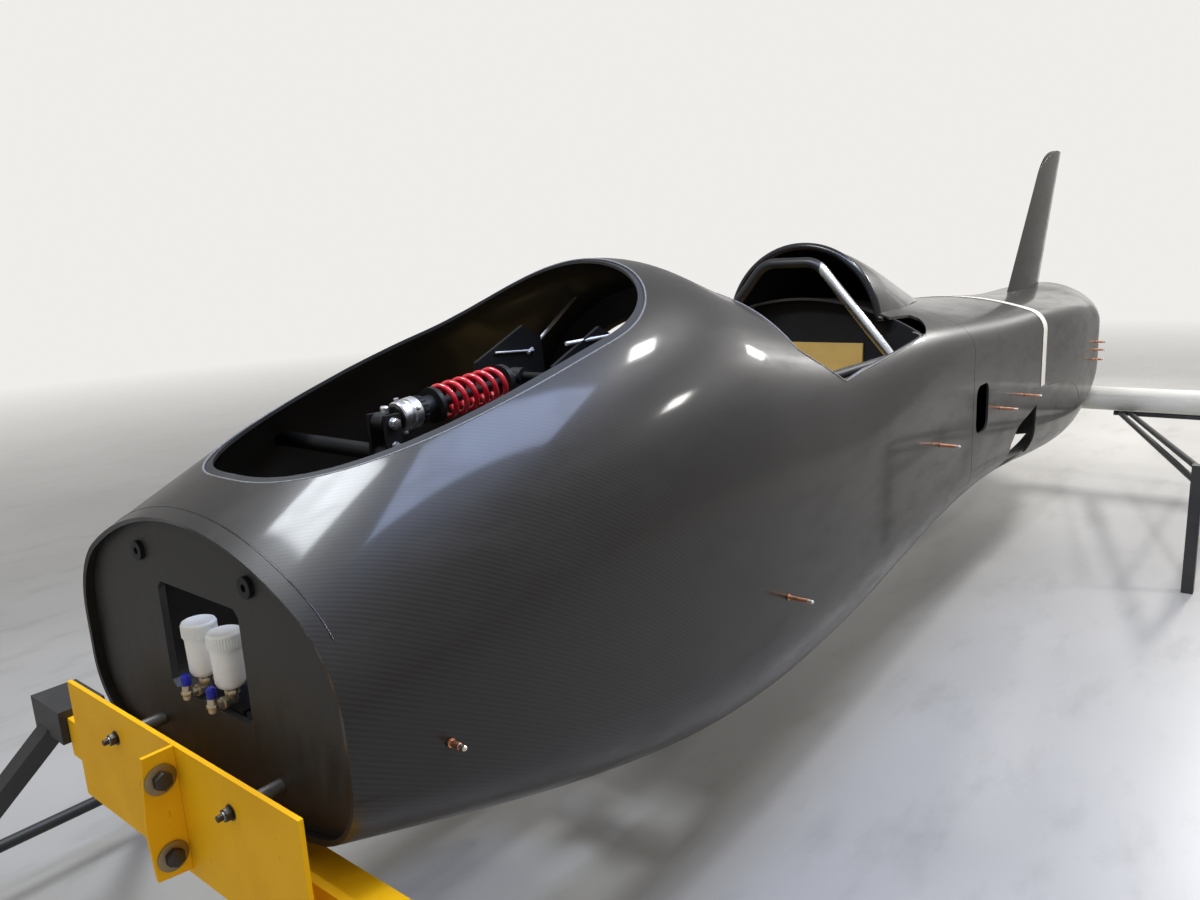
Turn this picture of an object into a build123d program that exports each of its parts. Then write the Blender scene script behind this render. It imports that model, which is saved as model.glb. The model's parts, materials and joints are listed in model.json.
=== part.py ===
from build123d import *
import os
from math import atan, cos, radians, sin

# A record streamliner's carbon body on its workshop stands, in millimetres.
# Stations run back from the front bulkhead's face. +X is forward, +Y is the vehicle's left, +Z is up.

TRESTLE_FOOT_ST = 300.0
FOOT_PAD = 80.0
FRONT_REACH = TRESTLE_FOOT_ST + FOOT_PAD / 2
TAIL_REACH = 5470.0
NOSE_X = (TAIL_REACH - FRONT_REACH) / 2

WALL = 8.0
GLUE = 0.3
LIP = 18.0
SEAM = 2500.0
SEAM_GAP = 3.0

# Body sections: half width, belly height, lower and upper end of the straight side, crown height,
# radius of the lower corner and radius of the shoulder.
SECTION_COLUMNS = ("station", "half", "belly", "low", "high", "crown", "corner", "shoulder")
SECTIONS = (
    (-LIP, 398, 565, 720, 800, 1037, 121, 175),
    (160, 414, 503, 680, 819, 1126, 142, 262),
    (350, 430, 438, 640, 840, 1215, 166, 350),
    (650, 449, 344, 590, 869, 1328, 205, 464),
    (950, 460, 278, 560, 880, 1390, 237, 537),
    (1100, 463, 262, 555, 875, 1388, 246, 540),
    (1220, 463, 256, 553, 867, 1352, 248, 497),
    (1360, 462, 260, 556, 868, 1308, 246, 429),
    (1500, 460, 270, 560, 870, 1274, 239, 378),
    (1820, 452, 318, 578, 931, 1245, 208, 260),
    (2150, 442, 370, 600, 1000, 1228, 174, 152),
    (2520, 431, 395, 617, 1011, 1200, 161, 111),
    (2900, 424, 388, 620, 995, 1172, 162, 108),
    (3250, 422, 363, 608, 995, 1153, 169, 98),
    (3600, 424, 330, 590, 1000, 1140, 179, 88),
    (3950, 426, 303, 578, 990, 1120, 197, 85),
    (4300, 416, 310, 580, 975, 1105, 203, 85),
    (4550, 398, 352, 597, 950, 1102, 189, 104),
    (4750, 384, 410, 628, 925, 1106, 169, 129),
    (4900, 368, 470, 665, 905, 1114, 153, 157),
    (5080, 335, 560, 715, 890, 1116, 121, 176),
    (5240, 285, 625, 745, 875, 1108, 95, 203),
    (5400, 190, 700, 780, 860, 1040, 65, 173),
)

# Openings in the skin
HATCH_FRONT = 75.0
HATCH_WIDEST = 700.0
HATCH_REAR = 1005.0
HATCH_HALF = 287.0
HATCH_POWER = 2.5
HATCH_STEPS = 48
LEDGE = 15.0
LEDGE_DROP = 3.5
LEDGE_T = 6.0
COCKPIT_FRONT = 1360.0
COCKPIT_NECK_Z = 1155.0
COCKPIT_CORNER = (1515.0, 1058.0)
COCKPIT_REAR = 2086.0
COCKPIT_SILL_REAR = (COCKPIT_REAR + 44, 1114.0)
POCKET_REAR = COCKPIT_REAR + 194
POCKET_Y = (292.0, 392.0)
SLOT_STATION = 2612.0
SLOT_WIDTH = 150.0
SLOT_LOW = 728.0
SLOT_HIGH = 896.0
SLOT_CORNER = 45.0
ARCH_FRONT = 3030.0
ARCH_FRONT_Z = 600.0
ARCH_REAR = 3395.0
ARCH_LOW = 500.0
ARCH_HIGH = 700.0
WELL_HALF = 130.0
WELL_HIGH = 500.0
FRONT_WELL = (420.0, 1180.0)
REAR_WELL = (3560.0, 4480.0)
FAR = 600.0

# Fin: height, leading and trailing station and thickness of its two sections, and its rounded tip
FIN = ((1122.0, 4486.0, 5106.0, 76.0), (1858.0, 5087.0, TAIL_REACH, 30.0))
FIN_FOOT_Z = 960.0
FIN_THICKEST = 0.42
FIN_EDGE = 4.0
FIN_TIP_ARC = ((4978.0, 1727.0), (5150.0, 1816.0), (TAIL_REACH + 5, 1859.0))

# Headrest fairing
FAIRING_COLUMNS = ("station", "half", "crown")
FAIRING = (
    (COCKPIT_REAR + 6, 285, 1402),
    (2260, 268, 1372),
    (2560, 220, 1290),
    (2900, 158, 1196),
    (3200, 80, 1130),
)
FAIRING_BASE = 1000.0
FAIRING_SIDE = 0.93
FAIRING_SHOULDER = 0.40

# Bulkheads
BULKHEAD = 12.0
WINDOW_HALF = 125.0
WINDOW_LOW = 722.0
WINDOW_HIGH = 912.0
BOSS_Y = 167.0
BOSS_Z = 958.0
BOSS_R = 17.0
BOSS_BORE_R = 6.0
BOSS_PROUD = 8.0
RING_STATION = 1290.0
RING_T = 25.0
RING_DEPTH = 70.0
SEAT_BACK_FOOT = COCKPIT_REAR - 22
SEAT_BACK_LEAN = 0.054
SEAT_BACK_T = 20.0
REAR_BULKHEAD = 3025.0
REAR_BULKHEAD_T = 15.0

# Seat: one shell whose pan spans the body and whose back leans on the seat back
SEAT_Z = 640.0
SEAT_FRONT = 1480.0
SEAT_T = 8.0
SEAT_HALF = 200.0
SEAT_TOP = 1085.0
SEAT_BEND = 90.0

# Roll hoop and rails
HOOP_TUBE_R = 16.0
HOOP_STATION = COCKPIT_REAR - 70
RAIL_Y = 335.0
RAIL_Z = 1055.0
RAIL_R = 14.0
RAIL_TAIL = 50.0
HOOP_TUBE_TOP = 1345.0
HOOP_TUBE_HALF = 90.0
HOOP_BEND = 80.0

# Front fork and steering
AXLE_ST = 800.0
AXLE_Z = 365.0
RAKE = 16.0
FORK_HALF = 105.0
LEG_R = 24.0
CROWN_UP = 400.0
HEAD_UP = 470.0
HEAD_LENGTH = 120.0
STEM_R = 20.0
HEAD_R = 32.0
RUN_CLEAR = 0.06
AXLE_FIT = 0.05
LEG_FOOT = 34.0
CROWN_W = 64.0
CROWN_T = 30.0
STEER_ARM = 70.0
BAR_BACK = 560.0
ARM_UP = 640.0
ARM_W = 36.0
ARM_T = 12.0
LINK_PIN_R = 8.0
LINK_PIN_RISE = 34.0
LINK_R = 7.0
LINK_UP = 23.0
LINK_EYE_R = 16.0
LINK_EYE_HALF = 10.0
POST_BEAM = (50.0, 40.0)
POST_RISE = 190.0
GRIP_HALF = 190.0
GRIP_R = 12.0
AXLE_R = 12.5
COLLAR_R = 20.5
COLLAR_GAP = 6.0
HUB_R = 50.0
HUB_WIDTH = 120.0
FLANGE_R = 90.0
FLANGE_T = 8.0
HUB_BOLT_PCD = 150.0
HUB_BOLT_R = 4.2
HUB_BOLTS = 6

# Rear arm
REAR_AXLE_ST = 3930.0
ARM_PIVOT_ST = 3110.0
ARM_Z = 560.0
ARM_SIDE = (44.0, 64.0)
ARM_TIE_R = 22.0

# Battery and motor, one plain block
BLOCK = (2540.0, 3010.0)
BLOCK_HALF = 240.0
BLOCK_Z = (500.0, 1000.0)
BEARER_Y = 190.0
BEARER_W = 40.0

# Brake reservoirs
RES_R = 27.5
RES_STATION = 18.0
RES_Y = (-40.0, 40.0)
RES_Z = 762.0
RES_BODY = 92.0
RES_CAP = 26.0
SHELF_DEPTH = 50.0
SHELF_WIDTH = 150.0
SHELF_T = 6.0
SHELF_FLANGE = 45.0
ELBOW_R = 8.0
ELBOW_DROP = 24.0
ELBOW_REACH = 34.0
PLUG_R = 7.0
PLUG_TOP = 34.0

# Damper
DAMPER_FRONT = 395.0
DAMPER_REAR = 760.0
DAMPER_FRONT_Z = 1118.0
DAMPER_REAR_Z = 1156.0
DAMPER_EYE_R = 18.0
DAMPER_EYE_WIDTH = 32.0
DAMPER_ROD_R = 10.0
DAMPER_CAN = (28.0, 117.0)
DAMPER_CAN_R = 22.0
DAMPER_CLAMP = (24.0, 76.0)
DAMPER_CLAMP_R = 34.0
FRONT_PIN_R = 7.0
REAR_PIN_R = 9.0
DAMPER_LUG_Y = 24.0
DAMPER_LUG = (36.0, 8.0, 76.0)
DAMPER_LUG_DROP = 22.0
SPRING_R = 38.0
SPRING_WIRE_R = 6.0
SPRING_TURNS = 6
SPRING_SEAT_T = 10.0
DAMPER_REAR_GAP = 59.0

# Damper tower
TOWER_HALF = 118.0
TOWER_T = 8.0
TOWER_FOOT = 72.0
TOWER_TOP = ((10.0, 1220.0), (-50.0, 1250.0))
TOWER_ARM_END = 20.0
TOWER_ARM_HALF = 26.0
BEAM_DEEP = 80.0
CROSS_TUBE_R = 16.0
CROSS_TUBE_DROP = 60.0

# Skin pins: where each stands on the flank and how far it reaches
PIN_COLUMNS = ("station", "z", "reach")
PINS = (
    (141, 722, 34),
    (1090, 635, 62),
    (2138, 774, 62),
    (2844, 774, 62),
    (3200, 769, 62),
    (4660, 737, 50),
    (4720, 780, 50),
    (4730, 820, 50),
)
PIN_R = 5.5
PIN_TIP_R = 4.4
PIN_TIP = 13.0

# Tape band over the tail
BAND_ST = (3440.0, 3500.0)
BAND_T = 1.6
BAND_LOW = 768.0

# Front plate and stands
PLATE_STATION = -81.0
PLATE_T = 8.0
PLATE_HALF = 363.0
PLATE_Z = (475.0, 700.0)
SPACER_Y = 184.0
SPACER_Z = 645.0
SPACER_R = 11.0
SPACER_NUT = (22.0, 6.7)

# Lug on the plate, bored for two cross bolts: how far ahead of the plate and how high each corner is
LUG_Y = (22.0, 30.0)
LUG_OUTLINE = ((0, 700), (48, 700), (58, 586), (53, 494), (0, 486))
PIVOT_ST = PLATE_STATION - 27
PIVOT_Z = (526.0, 657.0)
PIVOT_R = 9.0
PIVOT_HEAD_R = 15.0
PIVOT_HEAD = 12.0
PIVOT_NUT = 14.0
WASHER_R = 24.5
WASHER_T = 3.0
BEAM_HALF = 560.0
BEAM_Z = (462.0, 544.0)
BEAM_W = 60.0
SEAT_TAB_Y = 250.0
SEAT_TAB = (80.0, 50.0)
TRESTLE_BLOCK = (BEAM_HALF + GLUE, 700.0)
TRESTLE_BLOCK_Z = (490.0, 560.0)
TRESTLE_DEEP = 90.0
LEG_HEAD = (24.0, 20.0, 500.0)
BRACE_SHARE = 0.3
BRACE_R = 14.0
TRESTLE_FOOT_Y = 1020.0
FOOT_T = 8.0
TUBE = 40.0
PAD_ST = 5000.0
PAD_Z = 478.0
PAD_R = 64.0
CORE_R = 30.0
PAD_HALF = 1000.0
CORE_REACH = 60.0
REAR_LEG_ST = 3360.0
REAR_LEG_Y = 1008.0
REAR_LEG_TOP = 510.0
SIDE_RAIL_Z = 330.0
SIDE_RAIL = 30.0
BAR_R = 13.0
BAR_START_Y = 480.0
BARS = ((50.0, BAR_R), (0.0, 70.0))


def x_of(station):
    """X of a station."""
    return NOSE_X - station


def at(station, y, z):
    """A point given by its station."""
    return Vector(x_of(station), y, z)


def export(name, shape):
    """Write one node."""
    export_step(shape, f"parts/{name}.step")


def oval_quarter(half, rise, small):
    """Two points of a quarter oval on its side arc, from the side up: its middle and its smooth end."""
    reach = half - small
    big = (reach**2 + rise**2 - small**2) / (2 * (rise - small))
    angle = atan((big - rise) / reach)

    def on_small(turn):
        return reach + small * cos(turn), small * sin(turn)

    return on_small(angle / 2), on_small(angle)


def section_face(row, inset):
    """One closed body section of six arcs and two lines, moved in by inset."""
    size = dict(zip(SECTION_COLUMNS, row))
    half = size["half"] - inset
    belly = size["belly"] + inset
    crown = size["crown"] - inset
    low, high, station = size["low"], size["high"], size["station"]
    shoulder, top = oval_quarter(half, crown - high, size["shoulder"] - inset)
    corner, bottom = oval_quarter(half, low - belly, size["corner"] - inset)

    def up(yz, side):
        return at(station, side * yz[0], high + yz[1])

    def down(yz, side):
        return at(station, side * yz[0], low - yz[1])

    def flank(side):
        """The shoulder, side and corner of one flank, top to bottom."""
        return [
            (up(top, side), up(shoulder, side), at(station, side * half, high)),
            (at(station, side * half, high), at(station, side * half, low)),
            (at(station, side * half, low), down(corner, side), down(bottom, side)),
        ]

    left, right = flank(1), flank(-1)
    runs = [(up(top, -1), at(station, 0, crown), up(top, 1))]
    runs += left
    runs += [(down(bottom, 1), at(station, 0, belly), down(bottom, -1))]
    runs += [run[::-1] for run in right[::-1]]
    edges = [ThreePointArc(*run) if len(run) == 3 else Line(*run) for run in runs]
    return make_face(edges)


def body_solid(inset, last_inset=0.0, rows=SECTIONS):
    """The body's closed form, moved in by inset."""
    faces = [section_face(row, inset) for row in rows[:-1]]
    last = (rows[-1][0] - last_inset, *rows[-1][1:])
    faces.append(section_face(last, inset))
    return loft(faces)


def slab(front, rear, half=FAR, low=0.0, high=2000.0):
    """A block between two stations."""
    length = rear - front
    block = Box(length, 2 * half, high - low)
    return Pos(x_of((front + rear) / 2), 0, (low + high) / 2) * block


def tube_between(start, end, radius, wall=0.0):
    """A round bar or tube between two points."""
    run = end - start
    plane = Plane(origin=start, z_dir=run)
    bar = extrude(plane * Circle(radius), run.length)
    if wall:
        bar -= extrude(plane * Circle(radius - wall), run.length)
    return bar


def box_between(start, end, width, height, side=Vector(0, 1, 0)):
    """A rectangular bar between two points."""
    run = end - start
    plane = Plane(origin=start, x_dir=side, z_dir=run)
    return extrude(plane * Rectangle(width, height), run.length)


def hatch_outline(grow=0.0):
    """The hatch's teardrop in plan: two half superellipses that share their widest line."""
    points = []
    for step in range(HATCH_STEPS):
        turn = radians(360 * step / HATCH_STEPS)
        along, across = cos(turn), sin(turn)
        reach = (HATCH_WIDEST - HATCH_FRONT if along > 0 else HATCH_REAR - HATCH_WIDEST) + grow
        size = (abs(along) ** HATCH_POWER + abs(across) ** HATCH_POWER) ** (-1 / HATCH_POWER)
        points.append((x_of(HATCH_WIDEST) + reach * along * size, (HATCH_HALF + grow) * across * size))
    return make_face(Spline(points, periodic=True))


def hatch_prism(grow=0.0):
    """The hatch's cut, from inside the hump to above it."""
    return extrude(Pos(0, 0, 950) * hatch_outline(grow), 600)


def across(outline):
    """A side outline pushed right across the body."""
    return extrude(outline, FAR, dir=(0, 1, 0), both=True)


def side_outline(points, radius=0.0):
    """A closed outline in side view from stations and heights, its corners rounded by radius."""
    corners = [at(station, 0, z) for station, z in points]
    if radius:
        return make_face(FilletPolyline(corners, radius=radius, close=True))
    return make_face(Polyline(corners, close=True))


def cockpit_prism():
    """The cockpit's cut: right across the body, with a pocket behind each shoulder beside the headrest."""
    high = 1500.0
    corners = [
        (COCKPIT_FRONT, high), (COCKPIT_FRONT, COCKPIT_NECK_Z), COCKPIT_CORNER,
        COCKPIT_SILL_REAR, (COCKPIT_REAR, COCKPIT_SILL_REAR[1] + 60), (COCKPIT_REAR, high),
    ]
    cut = across(side_outline(corners, 12))
    inside, outside = POCKET_Y
    sill = COCKPIT_SILL_REAR[0]
    for side in (-1, 1):
        corner = at((sill + POCKET_REAR) / 2 + 20, side * (outside - 36), 0)
        edges = [
            Line(at(COCKPIT_REAR - 60, side * inside, 0), at(COCKPIT_REAR - 60, side * FAR, 0)),
            Line(at(COCKPIT_REAR - 60, side * FAR, 0), at(sill, side * FAR, 0)),
            Line(at(sill, side * FAR, 0), at(sill, side * outside, 0)),
            ThreePointArc(at(sill, side * outside, 0), corner, at(POCKET_REAR, side * (inside + 22), 0)),
            Line(at(POCKET_REAR, side * (inside + 22), 0), at(POCKET_REAR - 12, side * inside, 0)),
            Line(at(POCKET_REAR - 12, side * inside, 0), at(COCKPIT_REAR - 60, side * inside, 0)),
        ]
        cut += extrude(Pos(0, 0, COCKPIT_SILL_REAR[1]) * make_face(edges), FAR, dir=(0, 0, 1))
    return cut


def arch_prism():
    """The see-through arch low on both flanks: a slanting round front edge and an upright rear edge."""
    foot, top = at(ARCH_FRONT, 0, ARCH_FRONT_Z), at(ARCH_REAR, 0, ARCH_HIGH)
    bend = at((ARCH_FRONT + ARCH_REAR) / 2, 0, ARCH_HIGH - 28)
    low = [at(ARCH_REAR - 20, 0, ARCH_LOW), at(ARCH_FRONT, 0, ARCH_LOW)]
    edges = [ThreePointArc(foot, bend, top), Line(top, low[0]), Line(*low), Line(low[1], foot)]
    return across(make_face(edges))


def slot_prism():
    """The rounded window behind the seam, through the near and far walls."""
    middle = at(SLOT_STATION, 0, (SLOT_LOW + SLOT_HIGH) / 2)
    plane = Plane(origin=middle, x_dir=(0, 0, 1), z_dir=(0, 1, 0))
    window = RectangleRounded(SLOT_HIGH - SLOT_LOW, SLOT_WIDTH, SLOT_CORNER)
    return extrude(plane * window, FAR, both=True)


os.makedirs("parts", exist_ok=True)

outer = body_solid(0)
inner = body_solid(WALL, WALL)
fit = body_solid(WALL + GLUE, WALL + GLUE)

# Shells: one skin, opened and parted at the seam
skin = outer - inner - hatch_prism() - cockpit_prism() - arch_prism() - slot_prism()
for well in (FRONT_WELL, REAR_WELL):
    skin -= slab(*well, WELL_HALF, 0, WELL_HIGH)
export("front_shell", skin & slab(-100, SEAM - SEAM_GAP / 2))
export("tail_shell", skin & slab(SEAM + SEAM_GAP / 2, TAIL_REACH + 100))


def fin_face(nose, tail, z, thick):
    """A lens section with a blunt trailing edge."""
    mid = nose + FIN_THICKEST * (tail - nose)
    half_edge = FIN_EDGE / 2
    edges = [
        ThreePointArc(at(nose, 0, z), at(mid, thick / 2, z), at(tail, half_edge, z)),
        Line(at(tail, half_edge, z), at(tail, -half_edge, z)),
        ThreePointArc(at(tail, -half_edge, z), at(mid, -thick / 2, z), at(nose, 0, z)),
    ]
    return make_face(edges)


def fin():
    """The swept fin: its root is carried down its own sweep and trimmed to the skin, its tip is rounded."""
    (root_z, root_nose, root_tail, root_thick), (tip_z, tip_nose, tip_tail, tip_thick) = FIN
    drop = (root_z - FIN_FOOT_Z) / (tip_z - root_z)
    foot_nose = root_nose - (tip_nose - root_nose) * drop
    foot_tail = root_tail - (tip_tail - root_tail) * drop
    low = fin_face(foot_nose, foot_tail, FIN_FOOT_Z, root_thick)
    blade = loft([low, fin_face(tip_nose, tip_tail, tip_z, tip_thick)])
    start, bend, end = [at(station, 0, z) for station, z in FIN_TIP_ARC]
    above = [at(FIN_TIP_ARC[2][0], 0, tip_z + 200), at(FIN_TIP_ARC[0][0] - 200, 0, tip_z + 200)]
    edges = [ThreePointArc(start, bend, end), Line(end, above[0]), Line(*above), Line(above[1], start)]
    return blade - across(make_face(edges)) - outer


export("tail_fin", fin())


# Headrest fairing: a hollow hood behind the hoop, its mouth open to the cockpit
def fairing_face(row, inset):
    """An arch section standing on the deck."""
    size = dict(zip(FAIRING_COLUMNS, row))
    station, half, crown = size["station"], size["half"] - inset, size["crown"] - inset
    shoulder_y, shoulder_z = half * FAIRING_SIDE, FAIRING_BASE + (crown - FAIRING_BASE) * FAIRING_SHOULDER
    left, right = at(station, shoulder_y, shoulder_z), at(station, -shoulder_y, shoulder_z)
    left_foot, right_foot = at(station, half, FAIRING_BASE), at(station, -half, FAIRING_BASE)
    arch = ThreePointArc(left, at(station, 0, crown), right)
    edges = [Line(right_foot, left_foot), Line(left_foot, left), arch, Line(right, right_foot)]
    return make_face(edges)


def fairing(inset=0.0):
    """The hood's closed form, moved in by inset."""
    return loft([fairing_face(row, inset) for row in FAIRING])


export("headrest_fairing", fairing() - fairing(WALL) - outer)

# Front bulkhead with its window, and its two bored bosses
window = slab(-30, 30, WINDOW_HALF, WINDOW_LOW, WINDOW_HIGH)
panel = (fit & slab(0, BULKHEAD)) - window
bosses = []
for side in (-1, 1):
    boss_y, stud_y = side * BOSS_Y, side * SPACER_Y
    panel -= tube_between(at(-30, boss_y, BOSS_Z), at(40, boss_y, BOSS_Z), BOSS_BORE_R)
    panel -= tube_between(at(-30, stud_y, SPACER_Z), at(40, stud_y, SPACER_Z), SPACER_R + GLUE)
    boss_ends = at(0, boss_y, BOSS_Z), at(-BOSS_PROUD, boss_y, BOSS_Z)
    bosses.append(tube_between(*boss_ends, BOSS_R, BOSS_R - BOSS_BORE_R))
export("front_bulkhead", panel)
export("bulkhead_bosses", Compound(children=bosses))

# Ring frame in the hump and the panel behind the battery block
hollow = body_solid(WALL + GLUE + RING_DEPTH, rows=SECTIONS[4:10])
export("ring_frame", (fit & slab(RING_STATION, RING_STATION + RING_T)) - hollow)
export("rear_bulkhead", fit & slab(REAR_BULKHEAD, REAR_BULKHEAD + REAR_BULKHEAD_T))


def back_station(z):
    """Station of the seat back's front face at a height."""
    return SEAT_BACK_FOOT + SEAT_BACK_LEAN * z


# Seat back, leaning with the rider, and the seat shell on it
low, high = 200.0, 1500.0
lean = [(back_station(low), low), (back_station(high), high)]
rear_lean = [(station + SEAT_BACK_T, z) for station, z in lean[::-1]]
export("seat_back", fit & across(side_outline(lean + rear_lean)))
seat_line = FilletPolyline(
    [
        at(SEAT_FRONT, 0, SEAT_Z),
        at(back_station(SEAT_Z) - SEAT_T / 2 - GLUE, 0, SEAT_Z),
        at(back_station(SEAT_TOP) - SEAT_T / 2 - GLUE, 0, SEAT_TOP),
    ],
    radius=SEAT_BEND,
)
seat_plane = Plane(origin=seat_line @ 0, x_dir=(0, 1, 0), z_dir=seat_line % 0)
seat_edge = seat_plane * Rectangle(2 * SEAT_HALF, SEAT_T)
seat_rear = back_station(SEAT_Z) - SEAT_BEND
seat_floor = slab(SEAT_FRONT, seat_rear, FAR, SEAT_Z - SEAT_T / 2, SEAT_Z + SEAT_T / 2)
export("seat_pan", sweep(seat_edge, seat_line) + (seat_floor & fit))

# Roll hoop and side rails
hoop_line = FilletPolyline(
    [
        at(HOOP_STATION, RAIL_Y, RAIL_Z),
        at(HOOP_STATION, HOOP_TUBE_HALF, HOOP_TUBE_TOP),
        at(HOOP_STATION, -HOOP_TUBE_HALF, HOOP_TUBE_TOP),
        at(HOOP_STATION, -RAIL_Y, RAIL_Z),
    ],
    radius=HOOP_BEND,
)
hoop = sweep(Plane(origin=hoop_line @ 0, z_dir=hoop_line % 0) * Circle(HOOP_TUBE_R), path=hoop_line)
hoop -= slab(HOOP_STATION - 60, HOOP_STATION + 60, FAR, 0, RAIL_Z)
rails = []
for side in (-1, 1):
    rail_rear = at(HOOP_STATION + RAIL_TAIL, side * RAIL_Y, RAIL_Z)
    rail_front = at(RING_STATION + RING_T + GLUE, side * RAIL_Y, RAIL_Z)
    rails.append(tube_between(rail_rear, rail_front, RAIL_R))
    hoop -= tube_between(rail_rear, rail_front, RAIL_R + GLUE)
export("roll_hoop", hoop)
export("side_rails", Compound(children=rails))

# Hatch ledge: the ring inside the opening's edge that the cover would sit on
ledge = body_solid(LEDGE_DROP) - body_solid(LEDGE_DROP + LEDGE_T)
export("hatch_rim", ledge & (hatch_prism(-GLUE) - hatch_prism(-LEDGE)))

# Front steering frame: positions along the raked steering axis, up from the axle
RAKE_UP = Vector(-sin(radians(RAKE)), 0, cos(radians(RAKE)))
RAKE_AHEAD = Vector(cos(radians(RAKE)), 0, sin(radians(RAKE)))
AXLE = at(AXLE_ST, 0, AXLE_Z)


def fork_at(up, y=0.0, ahead=0.0):
    """A point in the fork's own frame."""
    return AXLE + RAKE_UP * up + RAKE_AHEAD * ahead + Vector(0, y, 0)


def fork_plane(up, y=0.0, ahead=0.0):
    """A plane square to the steering axis."""
    return Plane(origin=fork_at(up, y, ahead), x_dir=RAKE_AHEAD, z_dir=RAKE_UP)


def fork_bar(low, high, radius, y=0.0, ahead=0.0):
    """A round bar along the steering axis."""
    return tube_between(fork_at(low, y, ahead), fork_at(high, y, ahead), radius)


def cross_bar(centre, reach, radius):
    """A round bar across the vehicle, reaching out to both sides of a point."""
    return tube_between(centre - Vector(0, reach, 0), centre + Vector(0, reach, 0), radius)


# Cross beam with the steering head, and the damper's tower on it
head_point = fork_at(HEAD_UP + HEAD_LENGTH / 2)
beam_st, beam_z = NOSE_X - head_point.X, head_point.Z
beam = fit & (Pos(head_point) * Box(BEAM_DEEP, 2 * FAR, BEAM_DEEP))
head = fork_bar(HEAD_UP, HEAD_UP + HEAD_LENGTH, HEAD_R)
stem_bore = fork_bar(HEAD_UP - 40, HEAD_UP + HEAD_LENGTH + 40, STEM_R + RUN_CLEAR)
export("head_beam", beam + head - stem_bore)

tower_foot = beam_z + BEAM_DEEP / 2 + GLUE
arm_rear = DAMPER_REAR - TOWER_ARM_END
tower_outline = [
    (beam_st - TOWER_FOOT / 2, tower_foot), (beam_st + TOWER_FOOT / 2, tower_foot),
    *[(beam_st + back, z) for back, z in TOWER_TOP],
    (arm_rear, DAMPER_REAR_Z + TOWER_ARM_HALF), (arm_rear, DAMPER_REAR_Z - TOWER_ARM_HALF),
]
tower_plate = extrude(side_outline(tower_outline), TOWER_T, dir=(0, 1, 0))
tower = Pos(0, TOWER_HALF - TOWER_T, 0) * tower_plate + Pos(0, -TOWER_HALF, 0) * tower_plate
tower += cross_bar(at(DAMPER_REAR, 0, DAMPER_REAR_Z), TOWER_HALF, REAR_PIN_R)
export("damper_tower", tower)

# Cross tube with two lugs and the pin of the damper's front eye
bracket = cross_bar(at(DAMPER_FRONT, 0, DAMPER_FRONT_Z - CROSS_TUBE_DROP), FAR, CROSS_TUBE_R) & fit
for side in (-1, 1):
    lug_mid = at(DAMPER_FRONT, side * DAMPER_LUG_Y, DAMPER_FRONT_Z - DAMPER_LUG_DROP)
    bracket += Pos(lug_mid) * Box(*DAMPER_LUG)
bracket += cross_bar(at(DAMPER_FRONT, 0, DAMPER_FRONT_Z), DAMPER_LUG_Y + 12, FRONT_PIN_R)
export("damper_bracket", bracket)

# Damper along its own line
damper_start = at(DAMPER_FRONT, 0, DAMPER_FRONT_Z)
damper_end = at(DAMPER_REAR, 0, DAMPER_REAR_Z)
damper_length = (damper_end - damper_start).length
damper_way = (damper_end - damper_start).normalized()


def damper_bar(low, high, radius):
    """A round bar between two distances along the damper."""
    return tube_between(damper_start + damper_way * low, damper_start + damper_way * high, radius)


rear_seat = damper_length - DAMPER_REAR_GAP
damper = damper_bar(10, damper_length - 10, DAMPER_ROD_R)
damper += damper_bar(*DAMPER_CAN, DAMPER_CAN_R)
damper += damper_bar(DAMPER_CAN[1], DAMPER_CAN[1] + SPRING_SEAT_T, SPRING_R - 2)
damper += damper_bar(rear_seat, rear_seat + SPRING_SEAT_T + 2, SPRING_R - 2)
for point in (damper_start, damper_end):
    damper += cross_bar(point, DAMPER_EYE_WIDTH / 2, DAMPER_EYE_R)
damper -= cross_bar(damper_start, DAMPER_EYE_WIDTH, FRONT_PIN_R + GLUE)
damper -= cross_bar(damper_end, DAMPER_EYE_WIDTH, REAR_PIN_R + GLUE)
export("damper_body", damper)
clamp = damper_bar(*DAMPER_CLAMP, DAMPER_CLAMP_R)
export("damper_clamp", clamp - damper_bar(0, damper_length, DAMPER_CAN_R + GLUE))

# Spring: the coil's envelope, a sleeve with one rib to each turn
coil_from, coil_to = DAMPER_CAN[1] + SPRING_SEAT_T + GLUE, rear_seat - GLUE
pitch = (coil_to - coil_from) / SPRING_TURNS
coil = damper_bar(coil_from, coil_to, SPRING_R - SPRING_WIRE_R)
for turn in range(SPRING_TURNS):
    middle = coil_from + pitch * (turn + 0.5)
    coil += damper_bar(middle - SPRING_WIRE_R, middle + SPRING_WIRE_R, SPRING_R)
export("damper_spring", coil - damper_bar(0, damper_length, SPRING_R - 2 * SPRING_WIRE_R))


def steering_arm(ahead=0.0):
    """The arm square to the steering axis, with its link pin."""
    plate = fork_plane(ARM_UP, ahead=ahead) * Pos(0, STEER_ARM / 2) * Rectangle(ARM_W, STEER_ARM + ARM_W)
    return extrude(plate, ARM_T) + fork_bar(ARM_UP, ARM_UP + LINK_PIN_RISE, LINK_PIN_R, STEER_ARM, ahead)


# Fork: legs, crown, stem and steering arm turn together
legs = fork_bar(-LEG_FOOT, CROWN_UP, LEG_R, FORK_HALF) + fork_bar(-LEG_FOOT, CROWN_UP, LEG_R, -FORK_HALF)
crown_edge = fork_plane(CROWN_UP - CROWN_T / 2) * Rectangle(CROWN_W, 2 * FORK_HALF + CROWN_W)
crown_plate = extrude(crown_edge, CROWN_T)
stem = fork_bar(CROWN_UP, ARM_UP + 6, STEM_R)
export("front_fork", legs + crown_plate + stem + steering_arm() - cross_bar(AXLE, 300, AXLE_R + AXLE_FIT))


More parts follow.
